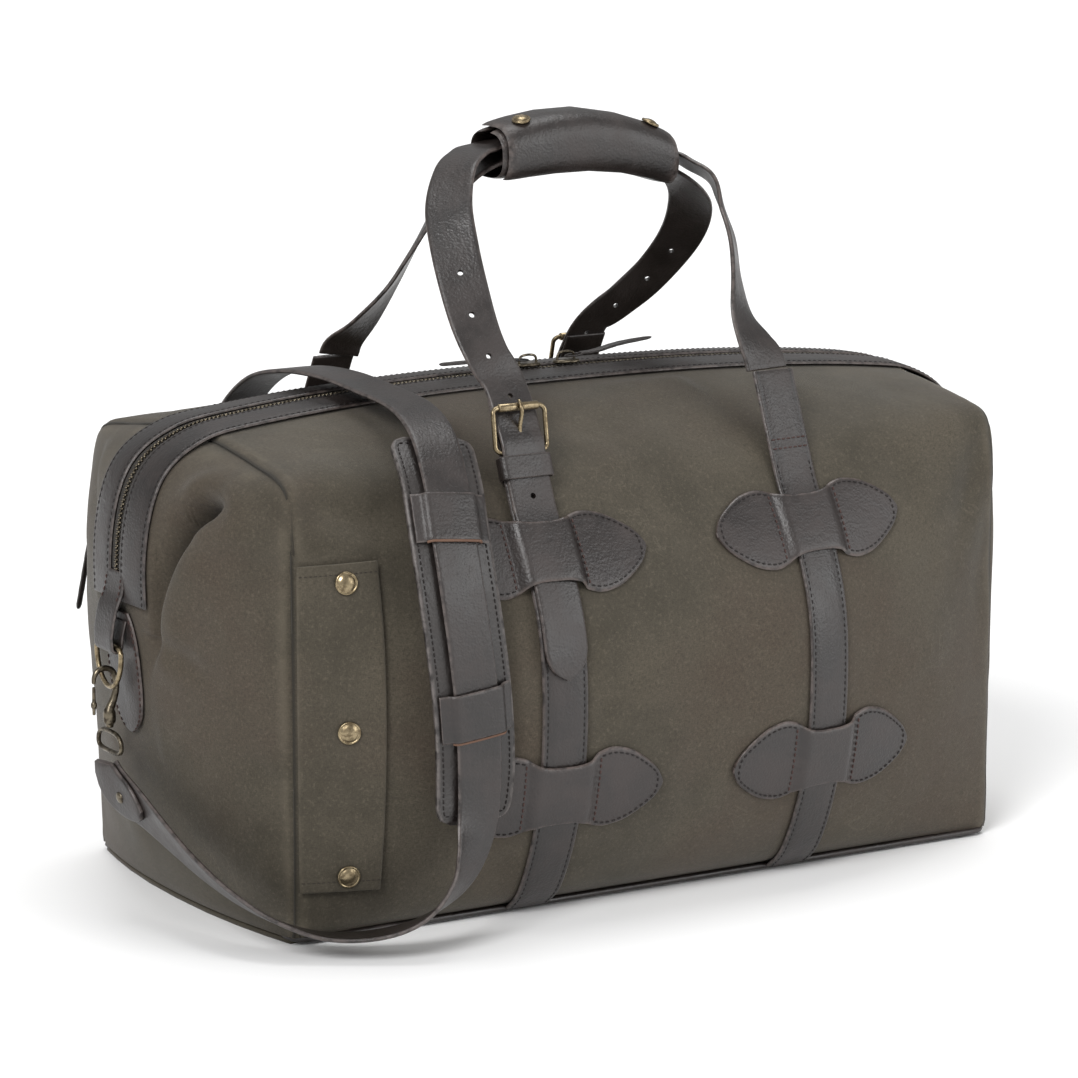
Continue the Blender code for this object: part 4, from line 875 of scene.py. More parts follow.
def tail_course(under, normals):
    """The handle strap's end over the base strap, from its tip up to the roller."""
    middle = under[:, MIDDLE_LINE]
    kept = (middle[:, 2] > 0.176)
    line = middle[kept] + normals[kept, 0] * (STRAP_LEATHER + GAP + STRAP_LEATHER / 2)
    below = lengths(line)[-1] - lengths(line)
    lifted = 0.0026 * np.exp(-(((below - 0.034) / 0.009) ** 2))
    return (line + normals[kept, 0] * lifted[:, None])[:-4]


def punch(target, places, normals, radius):
    """Round holes through a strap."""
    verts, faces = [], []
    for number, (place, normal) in enumerate(zip(places, normals)):
        normal = unit(normal)
        one = unit(np.cross(normal, (0.3, 0.9, 0.2)))
        two = np.cross(normal, one)
        angles = 2 * np.pi * np.arange(20) / 20
        for h in (-0.009, 0.009):
            verts += [place + normal * h + radius * (math.cos(a) * one + math.sin(a) * two)
                      for a in angles]
        faces += [[v + 40 * number for v in f] for f in ring_faces(2, 20)]
    mesh = bpy.data.meshes.new("punch")
    mesh.from_pydata([tuple(v) for v in verts], [], faces)
    turn_out(mesh)
    cutter = bpy.data.objects.new("punch", mesh)
    bpy.context.scene.collection.objects.link(cutter)
    cut = target.modifiers.new("holes", "BOOLEAN")
    cut.operation, cut.solver, cut.object = "DIFFERENCE", "EXACT", cutter
    bpy.context.view_layer.update()
    graph = bpy.context.evaluated_depsgraph_get()
    done = bpy.data.meshes.new_from_object(target.evaluated_get(graph))
    target.modifiers.clear()
    old = target.data
    target.data = done
    done.name = old.name + "_cut"
    bpy.data.objects.remove(cutter)


PATCH_HALF = 0.079
PATCH_COURSE = [            # along it from the strap: part of the half length, half height
    (0.0, 0.0212), (0.12, 0.0214), (0.232, 0.0232), (0.34, 0.0276), (0.48, 0.0300),
    (0.66, 0.0268), (0.82, 0.0192), (0.93, 0.0118), (0.985, 0.0050), (1.0, 0.0020),
]


def patch(name, side, x, z, stack, node):
    """A bow-shaped patch: two sewn lobes and a bridge over the straps, stack high."""
    course = spline(PATCH_COURSE, 60)
    u = np.concatenate([-course[::-1][:-1, 0], course[:, 0]])
    half = np.concatenate([course[::-1][:-1, 1], course[:, 1]])
    inner = smoothstep(-np.abs(u) * PATCH_HALF, -0.0265, -0.0172)
    middle = wall_at_height(side, x, z)
    per_metre = 0.01 / np.linalg.norm(wall(side, x, middle + 0.01) - wall(side, x, middle))
    px = (x + u * PATCH_HALF)[:, None]
    s = middle + ACROSS[None] * half[:, None] * per_metre
    base = wall(side, px, s)
    normals = wall_normal(side, px, s)
    base = base + normals * (GAP + stack * inner)[:, None, None]
    normals = grid_normals(base, normals)
    finish = PATCH_FINISH
    band(name, base, normals, LEATHER, 0.0, finish=finish, stands_for=[node])
    # Each lobe is sewn all round, a little in from its edge.
    for way in (-1, 1):
        first, last = 0.355, 0.950
        t = np.linspace(first, last, 60)
        height = np.interp(t, course[:, 0], course[:, 1]) - 0.0036
        outline = np.concatenate([np.stack([t, height], 1), np.stack([t[::-1], -height[::-1]], 1)])
        inside = np.stack([np.full(12, first), np.linspace(-height[0], height[0], 12)], 1)
        for run, finish in ((outline, THREAD_FINISH), (inside, RED_THREAD)):
            cx = x + way * run[:, 0] * PATCH_HALF
            cs = middle + run[:, 1] * per_metre
            up = wall_normal(side, cx, cs)
            sew(f"{name}_{finish.name}", "root", finish, wall(side, cx, cs) + up * (GAP + LEATHER),
                up, pitch=0.0046, length=0.0033, radius=0.00065)


# ---- handles ------------------------------------------------------------------------------
HOLE_RADIUS = 0.0021
TIP_LENGTH = 0.024          # the rounded end of a tail
HOLES = (0.098, 0.130, 0.202, 0.234, 0.266, 0.298)  # from the tail's tip, along the strap
WRAP_COURSE = [(-0.050, 0.511), (-0.012, 0.516), (0.024, 0.517), (0.062, 0.511), (0.098, 0.499)]
WRAP_HALF_HEIGHT = [0.0150, 0.0172, 0.0178, 0.0166, 0.0150]
STACKED = 0.0058
FLAP_LIFT = 0.0036          # the wrap's flap stands this far off the wrap

FRONT_LEFT_LEG = [
    ((-0.109, -0.1280, 0.3620), (1, 0, 0)), ((-0.1095, -0.1245, 0.3700), (1, 0, 0)),
    ((-0.117, -0.117, 0.386), (1, -0.10, 0)),
    ((-0.120, -0.104, 0.406), (1, -0.25, 0)), ((-0.120, -0.088, 0.432), (1, -0.45, 0)),
    ((-0.117, -0.070, 0.458), (0.95, -0.62, 0)), ((-0.110, -0.050, 0.484), (0.75, -0.8, 0)),
    ((-0.092, -0.028, 0.506), (0.35, -1, 0)), ((-0.070, -0.010, 0.5145), (0.08, -1, 0)),
]
FRONT_RIGHT_LEG = [
    ((0.113, -0.012, 0.4965), (-0.05, -1, 0)), ((0.122, -0.030, 0.4855), (-0.35, -1, 0)),
    ((0.122, -0.046, 0.464), (-0.6, -0.95, 0)), ((0.116, -0.066, 0.446), (-0.6, -0.86, 0)),
    ((0.107, -0.087, 0.423), (-0.62, -0.80, 0)), ((0.100, -0.106, 0.398), (-0.8, -0.6, 0)),
    ((0.102, -0.119, 0.380), (-0.97, -0.2, 0)), ((0.105, -0.1245, 0.3700), (-1, 0, 0)),
    ((0.1055, -0.1280, 0.3620), (-1, 0, 0)),
]
BACK_RIGHT_LEG = [
    ((0.109, 0.1200, 0.3560), (-1, 0, 0)), ((0.1105, 0.1165, 0.3640), (-1, 0, 0)),
    ((0.129, 0.106, 0.380), (-1, 0.1, 0)), ((0.147, 0.090, 0.402), (-1, 0.3, 0)),
    ((0.154, 0.064, 0.430), (-0.9, 0.55, 0)), ((0.148, 0.040, 0.454), (-0.7, 0.8, 0)),
    ((0.131, 0.018, 0.4735), (-0.3, 1, 0)),
]
BACK_LEFT_LEG = [
    ((-0.066, 0.010, 0.492), (0.15, 1, 0)), ((-0.076, 0.030, 0.468), (0.45, 0.9, 0)),
    ((-0.079, 0.055, 0.440), (0.55, 0.8, 0)), ((-0.083, 0.081, 0.410), (0.65, 0.7, 0)),
    ((-0.094, 0.104, 0.380), (0.9, 0.35, 0)), ((-0.104, 0.1165, 0.3640), (1, 0, 0)),
    ((-0.1060, 0.1200, 0.3560), (1, 0, 0)),
]


def handle(name, first_leg, last_leg, inside, side_in_wrap, body, nodes, tail):
    """A handle strap from the tip of its tail, through the wrap, to its sewn end."""
    legs = first_leg[1:] + [((x, 0.0, z), side_in_wrap) for x, z in inside] + last_leg
    step = max(1, len(tail) // 14)  # about 14 stations along the tail
    flat = (np.sign(first_leg[0][1][0]), 0, 0)
    stations = [(p, flat) for p in tail[::step]] + legs
    centres = spline([p for p, _ in stations], 900)
    sides = spline([unit(s) for _, s in stations], 900)
    centres, sides = resampled(centres, 0.0030, sides)
    centres, sides = softened(centres, 2), softened(sides, 3)
    along = lengths(centres)
    from_tip = np.clip(along / TIP_LENGTH, 0, 1)
    width = STRAP_WIDTH * np.clip(1 - (1 - from_tip) ** 2.3, 0.02, 1) ** 0.55
    base, normals = strap_grid(centres, sides, width)
    made = band(name, base - normals * STRAP_LEATHER / 2, normals, STRAP_LEATHER, 0.0, body=body,
                stands_for=nodes)
    spots = [[np.interp(h, along, values[:, k]) for h in HOLES for k in range(3)]
             for values in (centres, normals[:, MIDDLE_LINE])]
    punch(made, *(np.reshape(s, (-1, 3)) for s in spots), HOLE_RADIUS)
    made.parent = None
    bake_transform(made)
    return centres, sides


def wrap_grid(xs, angles, grow):
    """Points round the grip at each x and angle, 0 at the back and 90 on top."""
    stations = spline([(x, z, h) for (x, z), h in zip(WRAP_COURSE, WRAP_HALF_HEIGHT)], 60)
    a = np.radians(angles)[:, None]
    z = np.interp(xs, stations[:, 0], stations[:, 1])[None]
    half_height = np.interp(xs, stations[:, 0], stations[:, 2])[None] + grow
    half_width = 0.0218 + grow
    c, s = np.cos(a), np.sin(a)
    y = half_width * np.sign(c) * np.abs(c) ** 0.62 + 0 * z
    up = z + half_height * np.sign(s) * np.abs(s) ** 0.74
    return np.stack([np.broadcast_to(xs[None], y.shape), y, up], -1)


def grip():
    """The leather wrapped round both handles, its flap, and the flap's two snaps."""
    low, high = WRAP_COURSE[0][0], WRAP_COURSE[-1][0]
    middle, half = (low + high) / 2, (high - low) / 2
    for name, start, stop, grow, shorter, body, node in (
        ("grip_leather", -262, 82, 0.0, 0.0, "handle_front", "grip_wrap"),
        ("grip_flap", 74, 236, FLAP_LIFT, 0.003, "wrap_flap", "wrap_flap"),
    ):
        angles = np.linspace(start, stop, 150 if body == "handle_front" else 70)
        xs = middle + (half - shorter) * ACROSS
        p = wrap_grid(xs, angles, grow)
        centre = np.array([[[0, 0, 0.508]]])
        n = grid_normals(p, (p - centre) * np.array([0, 1, 1]))
        p, n = softened(p, 3), unit(softened(n, 3))
        if body == "wrap_flap":
            # The flap is one hide with the wrap: it lies down onto it below its hinge.
            lower = smoothstep(-p[..., 2], -0.508, -0.494)[..., None]
            p = p - n * lower * (FLAP_LIFT - LEATHER - 0.0002)
        made = band(name, p, n, LEATHER, 0.0, body=body, stands_for=[node])
        if body == "wrap_flap":
            made.parent = None
            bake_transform(made)
    for name, x in (("wrap_snap_left", -0.030), ("wrap_snap_right", 0.078)):
        p = wrap_grid(np.array([x, x + 0.006]), np.array([95, 110.5, 126]), LEATHER * 2 + 0.0010)
        normal = unit(np.cross(p[1, 1] - p[1, 0], p[2, 0] - p[0, 0]))
        normal = normal if normal[2] > 0 else -normal
        snap("snap_" + name[5:] + "_grip", p[1, 0] + normal * 0.0002, normal, 0.0064, "wrap_flap",
             name)


def lathe(name, base, normal, outline, finish, body, stands_for=(), sides=40):
    """A turned piece: outline gives radius and height over base."""
    normal = unit(normal)
    one = unit(np.cross(normal, (0, 0, 1) if abs(normal[2]) < 0.9 else (1, 0, 0)))
    two = np.cross(normal, one)
    a = 2 * np.pi * np.arange(sides) / sides
    around = np.cos(a)[:, None] * one + np.sin(a)[:, None] * two
    outline = np.asarray(outline, float)
    rings = base + normal * outline[:, 1, None, None] + around[None] * outline[:, 0, None, None]
    return piece(name, rings, ring_faces(*rings.shape[:2]), finish, body, stands_for)


def snap(name, base, normal, radius, body, node):
    """A snap's cap: a domed disc in a raised ring."""
    r = radius / 0.0075
    outline = [(0.0076, 0.0), (0.0080, 0.0006), (0.0079, 0.0014), (0.0074, 0.0019),
               (0.0069, 0.0018), (0.0066, 0.0014), (0.0063, 0.0014), (0.0058, 0.0019),
               (0.0045, 0.0026), (0.0028, 0.0031), (0.0012, 0.0033), (0.0002, 0.0033)]
    outline = [(a * r, h) for a, h in outline]
    lathe(name, base, normal, outline, BRASS, body, [node])


# ---- carried-over metal -------------------------------------------------------------------
def keep_node(node, finish, levels=2):
    """A CAD node that stays, its facets rounded, with a finish from here."""
    held = NODES[node]
    weld = held.modifiers.new("weld", "WELD")
    weld.merge_threshold = 0.00002
    if levels:
        round_ = held.modifiers.new("round", "SUBSURF")
        round_.levels = levels
        round_.render_levels = levels
    held.data.materials.clear()
    held.data.materials.append(finish)
    held.data.shade_smooth()


# ---- shoulder strap -----------------------------------------------------------------------
STRAP_END = [               # from the hook down round the corner: point, then the face direction
    ((-0.3560, 0.0000, 0.1050), (-1, 0, 0)), ((-0.3560, -0.0020, 0.0985), (-1, 0, 0)),
    ((-0.3545, -0.0165, 0.0895), (-1, 0, -0.1)),
    ((-0.3500, -0.0432, 0.0790), (-0.95, 0, -0.3)),
    ((-0.3450, -0.0711, 0.0660), (-0.87, 0, -0.45)),
    ((-0.3390, -0.1045, 0.0515), (-0.8, 0, -0.6)),
    ((-0.3290, -0.1384, 0.0374), (-0.65, -0.05, -0.75)),
    ((-0.3110, -0.1656, 0.0240), (-0.4, -0.1, -0.9)),
    ((-0.2850, -0.1847, 0.0150), (-0.15, -0.1, -1)),
]
STRAP_RISE = [
    ((-0.2560, -0.2030, 0.0160), (0, -0.12, -1)), ((-0.2300, -0.2150, 0.0240), (0.25, -0.3, -0.9)),
    ((-0.2090, -0.2195, 0.0390), (0.45, -0.6, -0.65)),
    ((-0.1930, -0.2170, 0.0576), (0.35, -0.88, -0.3)),
    ((-0.1815, -0.2110, 0.0850), (0.12, -1, -0.05)),
]
STRAP_OVER = [
    ((-0.1800, -0.2120, 0.1200), (0, -1, 0)), ((-0.1840, -0.2160, 0.1650), (0, -1, 0)),
    ((-0.1900, -0.2170, 0.2100), (0, -1, 0.05)), ((-0.1930, -0.2110, 0.2500), (0, -1, 0.2)),
    ((-0.1920, -0.1970, 0.2880), (0, -0.9, 0.4)), ((-0.1870, -0.1780, 0.3180), (0, -0.8, 0.6)),
    ((-0.1800, -0.1480, 0.3440), (0, -0.45, 0.9)), ((-0.1740, -0.1080, 0.3560), (0, -0.18, 1)),
    ((-0.1720, -0.0550, 0.3600), (0, -0.05, 1)), ((-0.1720, 0.0000, 0.3625), (0, 0, 1)),
    ((-0.1730, 0.0550, 0.3590), (0, 0.1, 1)), ((-0.1740, 0.1050, 0.3470), (0, 0.4, 0.9)),
    ((-0.1740, 0.1480, 0.3190), (0, 0.7, 0.7)), ((-0.1720, 0.1800, 0.2780), (0, 0.85, 0.5)),
    ((-0.1620, 0.2060, 0.2350), (0, 0.95, 0.3)), ((-0.1400, 0.2220, 0.2000), (0, 1, 0.15)),
    ((-0.1040, 0.2330, 0.1700), (0, 1, 0)), ((-0.0550, 0.2385, 0.1400), (0, 1, 0)),
    ((0.0000, 0.2400, 0.1150), (0, 1, 0)), ((0.0600, 0.2370, 0.0930), (0, 1, 0)),
    ((0.1150, 0.2320, 0.0740), (0, 1, -0.1)), ((0.1650, 0.2250, 0.0560), (0, 0.9, -0.4)),
    ((0.2100, 0.2170, 0.0360), (0, 0.55, -0.85)), ((0.2500, 0.2050, 0.0200), (0, 0.2, -1)),
]


def strap_course():
    """The shoulder strap's centres and face directions, hook to hook. Its ends are alike."""
    far = [((-p[0], -p[1], p[2]), (-n[0], -n[1], n[2])) for p, n in reversed(STRAP_END)]
    stations = STRAP_END + STRAP_RISE + STRAP_OVER + far
    centres = spline([p for p, _ in stations], 1200)
    faces = spline([unit(n) for _, n in stations], 1200)
    centres, faces = resampled(centres, 0.004, faces)
    faces = softened(faces, 12)
    flow = tangents(centres)
    return centres, unit(np.cross(flow, faces))


def shoulder_strap():
    """The shoulder strap's leather, hook to hook."""
    centres, sides = strap_course()
    base, normals = strap_grid(centres, sides, np.full(len(centres), STRAP_WIDTH))
    band("shoulder_strap_leather", base - normals * STRAP_LEATHER / 2, normals, STRAP_LEATHER,
         stands_for=["shoulder_strap"])
    return centres, sides


# ---- small leather ------------------------------------------------------------------------
def box_stitch(face, under, normals):
    """Two rows of stitches across the sewn end of a handle strap."""
    step = lengths(under[:, 7])
    for below in (0.0500, 0.0560):
        row = int(np.argmin(np.abs(step[-1] - step - below)))
        line = under[row, 3:12] + normals[row, 3:12] * (STRAP_LEATHER + 0.0001)
        sew(face + "_box_stitches", "root", RED_THREAD, line, normals[row, 3:12], pitch=0.0040,
            radius=0.0006)


def piping():
    """The thin roll of leather sewn in round the bottom."""
    corner = 0.012
    line = []
    for cx, cy, first in ((1, -1, -90), (1, 1, 0), (-1, 1, 90), (-1, -1, 180)):
        for a in np.radians(np.linspace(first, first + 90, 9)):
            line.append((cx * (HALF_LENGTH - 0.0005 - corner) + corner * math.cos(a),
                         cy * (HALF_DEPTH - 0.0005 - corner) + corner * math.sin(a), 0.0040))
    line = resampled(np.array(line + line[:1]), 0.006)[0][:-1]
    radius = 0.0021
    ring = []
    for k in range(len(line)):
        flow = unit(line[(k + 1) % len(line)] - line[k - 1])
        out = np.array([flow[1], -flow[0], 0])
        ring.append([line[k] + radius * (math.cos(a) * out + math.sin(a) * np.array([0, 0, 1.0]))
                     for a in 2 * np.pi * np.arange(10) / 10])
    ring = np.array(ring)
    cloth = np.zeros(ring.shape)
    piece("bottom_piping_roll", ring, ring_faces(len(ring), 10, closed=True), LEATHER_FINISH,
          "root", ["bottom_piping"], np.zeros(ring.shape[:2]), cloth)


def keeper(name, under, normals, node):
    """A closed loop of leather round the base strap and the tail over it."""
    low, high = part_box(node)
    z = (low.z + high.z) / 2
    middle = under[:, MIDDLE_LINE]
    row = int(np.argmin(np.abs(middle[:, 2] - z)))
    along = tangents(middle)[row]
    face = normals[row, 0]
    across = np.array([1.0, 0, 0])
    half, top = STRAP_WIDTH / 2 + 0.0014, STRAP_LEATHER * 2 + 0.0016
    loop = []
    corner = 0.0022
    for cx, cy, first in ((1, 0, -90), (1, 1, 0), (-1, 1, 90), (-1, 0, 180)):
        for a in np.radians(np.linspace(first, first + 90, 7)):
            loop.append((cx * (half - corner) + corner * math.cos(a),
                         (top - corner if cy else corner - 0.0002) + corner * math.sin(a)))
    loop = np.array([(0, -0.0002)] + loop + [(0, -0.0002)])
    loop = resampled(loop, 0.0012)[0]
    centre = middle[row]
    path = centre + across * loop[:, :1] + face * loop[:, 1:]
    flow = tangents(loop)
    out = across * flow[:, 1:2] - face * flow[:, 0:1]
    base = path[:, None] + along * (0.0082 * ACROSS)[None, :, None]
    band(name, base, np.broadcast_to(out[:, None], base.shape), 0.0019, 0.0, stands_for=[node])


def tube(name, line, radii, finish, body, stands_for, closed=False, sides=12):
    """Wire of the given radii along a line."""
    line = np.asarray(line, float)
    flow = tangents(line, closed)
    guide = np.array([0.31, 0.87, 0.38])
    one = unit(np.cross(flow, guide))
    two = np.cross(flow, one)
    a = 2 * np.pi * np.arange(sides) / sides
    around = np.cos(a)[None, :, None] * one[:, None] + np.sin(a)[None, :, None] * two[:, None]
    rings = line[:, None] + around * np.broadcast_to(radii, len(line))[:, None, None]
    return piece(name, rings, ring_faces(len(line), sides, closed=closed), finish, body,
                 stands_for)


def buckle(prefix, side, under):
    """A roller buckle: its lower bar is under the tail, its prong comes up through a hole."""
    top, low = under[-1, 7], under[-4, 7]
    along = unit(top - low)
    face = outward(side, along)
    across = np.array([1.0, 0, 0])
    deep = STRAP_LEATHER + 0.0018
    high = STRAP_LEATHER * 2 + 0.0044

    def place(u, up, out):
        return top + across * u + along * up + face * out

    half, first, length, corner = 0.0205, -0.0075, 0.0300, 0.0042
    path = []
    for cx, cy, turn in ((1, 0, 0), (-1, 0, 90), (-1, -1, 180), (1, -1, 270)):
        for a in np.radians(np.linspace(turn, turn + 90, 9)):
            up = cy * (length - 2 * corner) - corner + corner * math.sin(a)
            part = smoothstep(-up, 0.004, length - 0.003)
            path.append(place(cx * (half - corner) + corner * math.cos(a), first + up,
                              high + (deep - high) * part))
    path = resampled(np.array(path + path[:1]), 0.0011)[0][:-1]
    tube(prefix + "_buckle_wire", path, 0.0017, BRASS, "root", [prefix + "_buckle_frame"], True)
    reach = half - corner - 0.0006
    radius = 0.0029
    rim = [(-reach, 0.0004), (-reach, radius * 0.9), (-reach + 0.0006, radius),
           (reach - 0.0006, radius), (reach, radius * 0.9), (reach, 0.0004)]
    axis = place(0, first, high)
    around = 2 * np.pi * np.arange(28) / 28
    rings = np.array([[axis + across * u + r * (math.cos(a) * along + math.sin(a) * face)
                       for a in around] for u, r in rim])
    piece(prefix + "_roller_tube", rings, ring_faces(len(rim), 28), BRASS, prefix + "_roller",
          [prefix + "_roller"])
    prong = spline([place(0, first - length + 0.0042, deep + 0.0012),
                    place(0, first - 0.0190, STRAP_LEATHER + 0.0030),
                    place(0, first - 0.0125, STRAP_LEATHER * 2 + 0.0026),
                    place(0, first - 0.0050, high + radius + 0.0010),
                    place(0, first + 0.0010, high + radius + 0.0013),
                    place(0, first + 0.0046, high + radius - 0.0004)], 40)
    size = np.interp(np.linspace(0, 1, 40), [0, 0.7, 0.93, 1], [0.0015, 0.0015, 0.0011, 0.0005])
    tube(prefix + "_prong", prong, size, BRASS, prefix + "_tongue", [prefix + "_tongue"])


SHIELD_COURSE = [           # height and half width of the shield on each end
    (0.126, 0.003), (0.130, 0.011), (0.139, 0.0185), (0.152, 0.0225),
    (0.170, 0.0240), (0.190, 0.0232), (0.204, 0.0196), (0.212, 0.0150),
]
RING_BAR = (0.3535, 0.189)  # x and z of the D-ring's straight bar
RING_STRAP_TURN = 0.0038    # radius of the strap's turn round it


def end_tab(prefix, side):
    """The shield sewn on the end, and the strap folded round the D-ring above it."""
    course = spline(SHIELD_COURSE, 50)
    y = course[:, 1:2] * ACROSS[None]
    z = np.broadcast_to(course[:, :1], y.shape)
    v = end_at_height(side, y, z)
    base, normals = end_wall(side, y, v), end_normal(side, y, v)
    band(prefix + "_end_shield", base, normals, LEATHER, GAP, finish=PATCH_FINISH,
         stands_for=[prefix + "_end_tab"])
    for column in (2, -3):
        row = base[4:-3, column] + normals[4:-3, column] * (GAP + LEATHER * 0.97)
        sew(prefix + "_shield_stitches", "root", RED_THREAD, row, normals[4:-3, column])
    (bar_x, bar_z), turn = RING_BAR, RING_STRAP_TURN
    loop = [(bar_x - 0.0064, 0.240), (bar_x - 0.0040, 0.226), (bar_x + 0.0008, 0.2140),
            (bar_x + turn, 0.1985)]
    loop += [(bar_x + turn * math.cos(a), bar_z + turn * math.sin(a))
             for a in np.radians(np.linspace(10, -190, 13))]
    loop += [(bar_x - turn - 0.0006, 0.196), (bar_x - turn - 0.0030, 0.206)]
    centres = resampled(spline([(side * x, 0.0, z) for x, z in loop], 160), 0.0016)[0]
    taper = np.interp(lengths(centres), [0, 0.010, 0.030, 0.045, 0.1],
                      [0.0270, 0.0285, 0.0290, 0.0280, 0.0285])
    base, normals = strap_grid(centres, np.broadcast_to([0, 1.0, 0], centres.shape), taper)
    band(prefix + "_ring_strap", base - normals * 0.0012, normals, 0.0024)
    side_up = normals if (normals[2, 7, 0] * side) > 0 else -normals
    for column in STITCH_LINES:
        row = base[2:14, column] + side_up[2:14, column] * 0.0011
        sew(prefix + "_ring_strap_stitches", "root", RED_THREAD, row, side_up[2:14, column])


def strap_end(prefix, centres, sides, far):
    """The strap's end folded through the hook's eye and riveted: a rounded second layer."""
    line, across = (centres[::-1], sides[::-1]) if far else (centres, sides)
    along = lengths(line)
    reach = 0.056
    kept = along < reach
    line, across, along = line[kept], across[kept], along[kept]
    flow = tangents(line)
    face = unit(np.cross(across, flow)) * (-1 if far else 1)
    t = along / reach
    width = 0.0315 * np.sqrt(np.clip(1 - np.clip((t - 0.55) / 0.46, 0, 1) ** 2.2, 0.01, 1))
    width = width * (0.80 + 0.20 * smoothstep(t, 0.0, 0.3))
    base, normals = strap_grid(line, across, width)
    normals = np.broadcast_to(face[:, None], base.shape)
    base = base + normals * (STRAP_LEATHER / 2 + 0.0001)
    band(prefix + "_strap_fold", base, normals, 0.0030, 0.0, swell=0.35)
    row = int(len(line) * 0.58)
    rivet = [(0.0042, 0.0), (0.0043, 0.0006), (0.0036, 0.0013), (0.0020, 0.0018), (0.0002, 0.0019)]
    lathe(prefix + "_strap_rivet", line[row] + face[row] * (STRAP_LEATHER / 2 + 0.0036), face[row],
          rivet, DARK_BRASS, "root", sides=28)


# ---- pocket flap --------------------------------------------------------------------------
def pocket():
    """The pocket flap with its hems and snaps, and the welt under it."""
    low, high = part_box("pocket_flap")
    x0, x1 = -0.2880, high.x
    z = np.concatenate([np.linspace(low.z, low.z + 0.012, 12),
                        np.linspace(low.z + 0.014, high.z - 0.014, 70),
                        np.linspace(high.z - 0.012, high.z, 12)])
    part = (ACROSS + 1) / 2
    x = x0 + (x1 - x0) * part
    xg, zg = np.meshgrid(x, z)
    s = wall_at_height(-1, xg, zg)
    p, n = wall(-1, xg, s), wall_normal(-1, xg, s)
    edge = np.minimum(zg - low.z, high.z - zg)
    hem = 0.0007 * (1 - smoothstep(edge, 0.0072, 0.0086))
    hem -= 0.0005 * np.exp(-(((edge - 0.0062) / 0.0011) ** 2))
    off = 0.0013 + 0.0016 * part[None] + hem + 0.0010 * rumple(p, 0.05, 4.4) * part[None]
    base = p + n * off[..., None]
    normals = grid_normals(base, n)
    band("pocket_flap_canvas", base, normals, 0.0024, 0.0, finish=CANVAS_FINISH,
         body="pocket_flap", stands_for=["pocket_flap"])
    for wanted in (low.z + 0.0062, high.z - 0.0062):
        row = int(np.argmin(np.abs(z - wanted)))
        line = base[row] + normals[row] * 0.0024
        sew("flap_hem_stitches", "pocket_flap", OLIVE_THREAD, line[1:-1], normals[row, 1:-1],
            pitch=0.0034, length=0.0025, radius=0.0003)
    for node in ("flap_snap_lower", "flap_snap_middle", "flap_snap_upper"):
        a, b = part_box(node)
        sx, sz = (a.x + b.x) / 2, (a.z + b.z) / 2
        at = wall_at_height(-1, sx, sz)
        point, normal = wall(-1, sx, at), wall_normal(-1, sx, at)
        snap(node + "_cap", point + normal * 0.0050, normal, 0.0075, "pocket_flap", node)
        stud = [(0.0050, 0.0), (0.0050, 0.0005), (0.0030, 0.0007), (0.0026, 0.0009),
                (0.0002, 0.0009)]
        lathe(node + "_stud", point, normal, stud, BRASS, "root", sides=28)
    mouth = np.linspace(0.060, 0.245, 60)[:, None]
    mx = -0.268 + 0.004 * ACROSS[None]
    s = wall_at_height(-1, mx, mouth)
    band("pocket_mouth_welt", wall(-1, mx, s), wall_normal(-1, mx, s), 0.0006, 0.0001,
         finish=CANVAS_FINISH)


# ---- shoulder pad -------------------------------------------------------------------------
PAD_WIDTH, PAD_THICK = 0.060, 0.0066
PAD_LOOPS = (0.285, 0.765)  # where the loops are, as parts of the pad's length


def pad_course():
    """The centres, sides, faces and directions of the strap where the pad is."""
    stations = [(p, n) for p, n in STRAP_END + STRAP_RISE + STRAP_OVER][13:21]
    centres = spline([p for p, _ in stations], 300)
    faces = spline([unit(n) for _, n in stations], 300)
    centres, faces = resampled(centres, 0.0030, faces)
    flow = tangents(centres)
    sides = unit(np.cross(flow, faces))
    return centres, sides, unit(np.cross(sides, flow)), flow


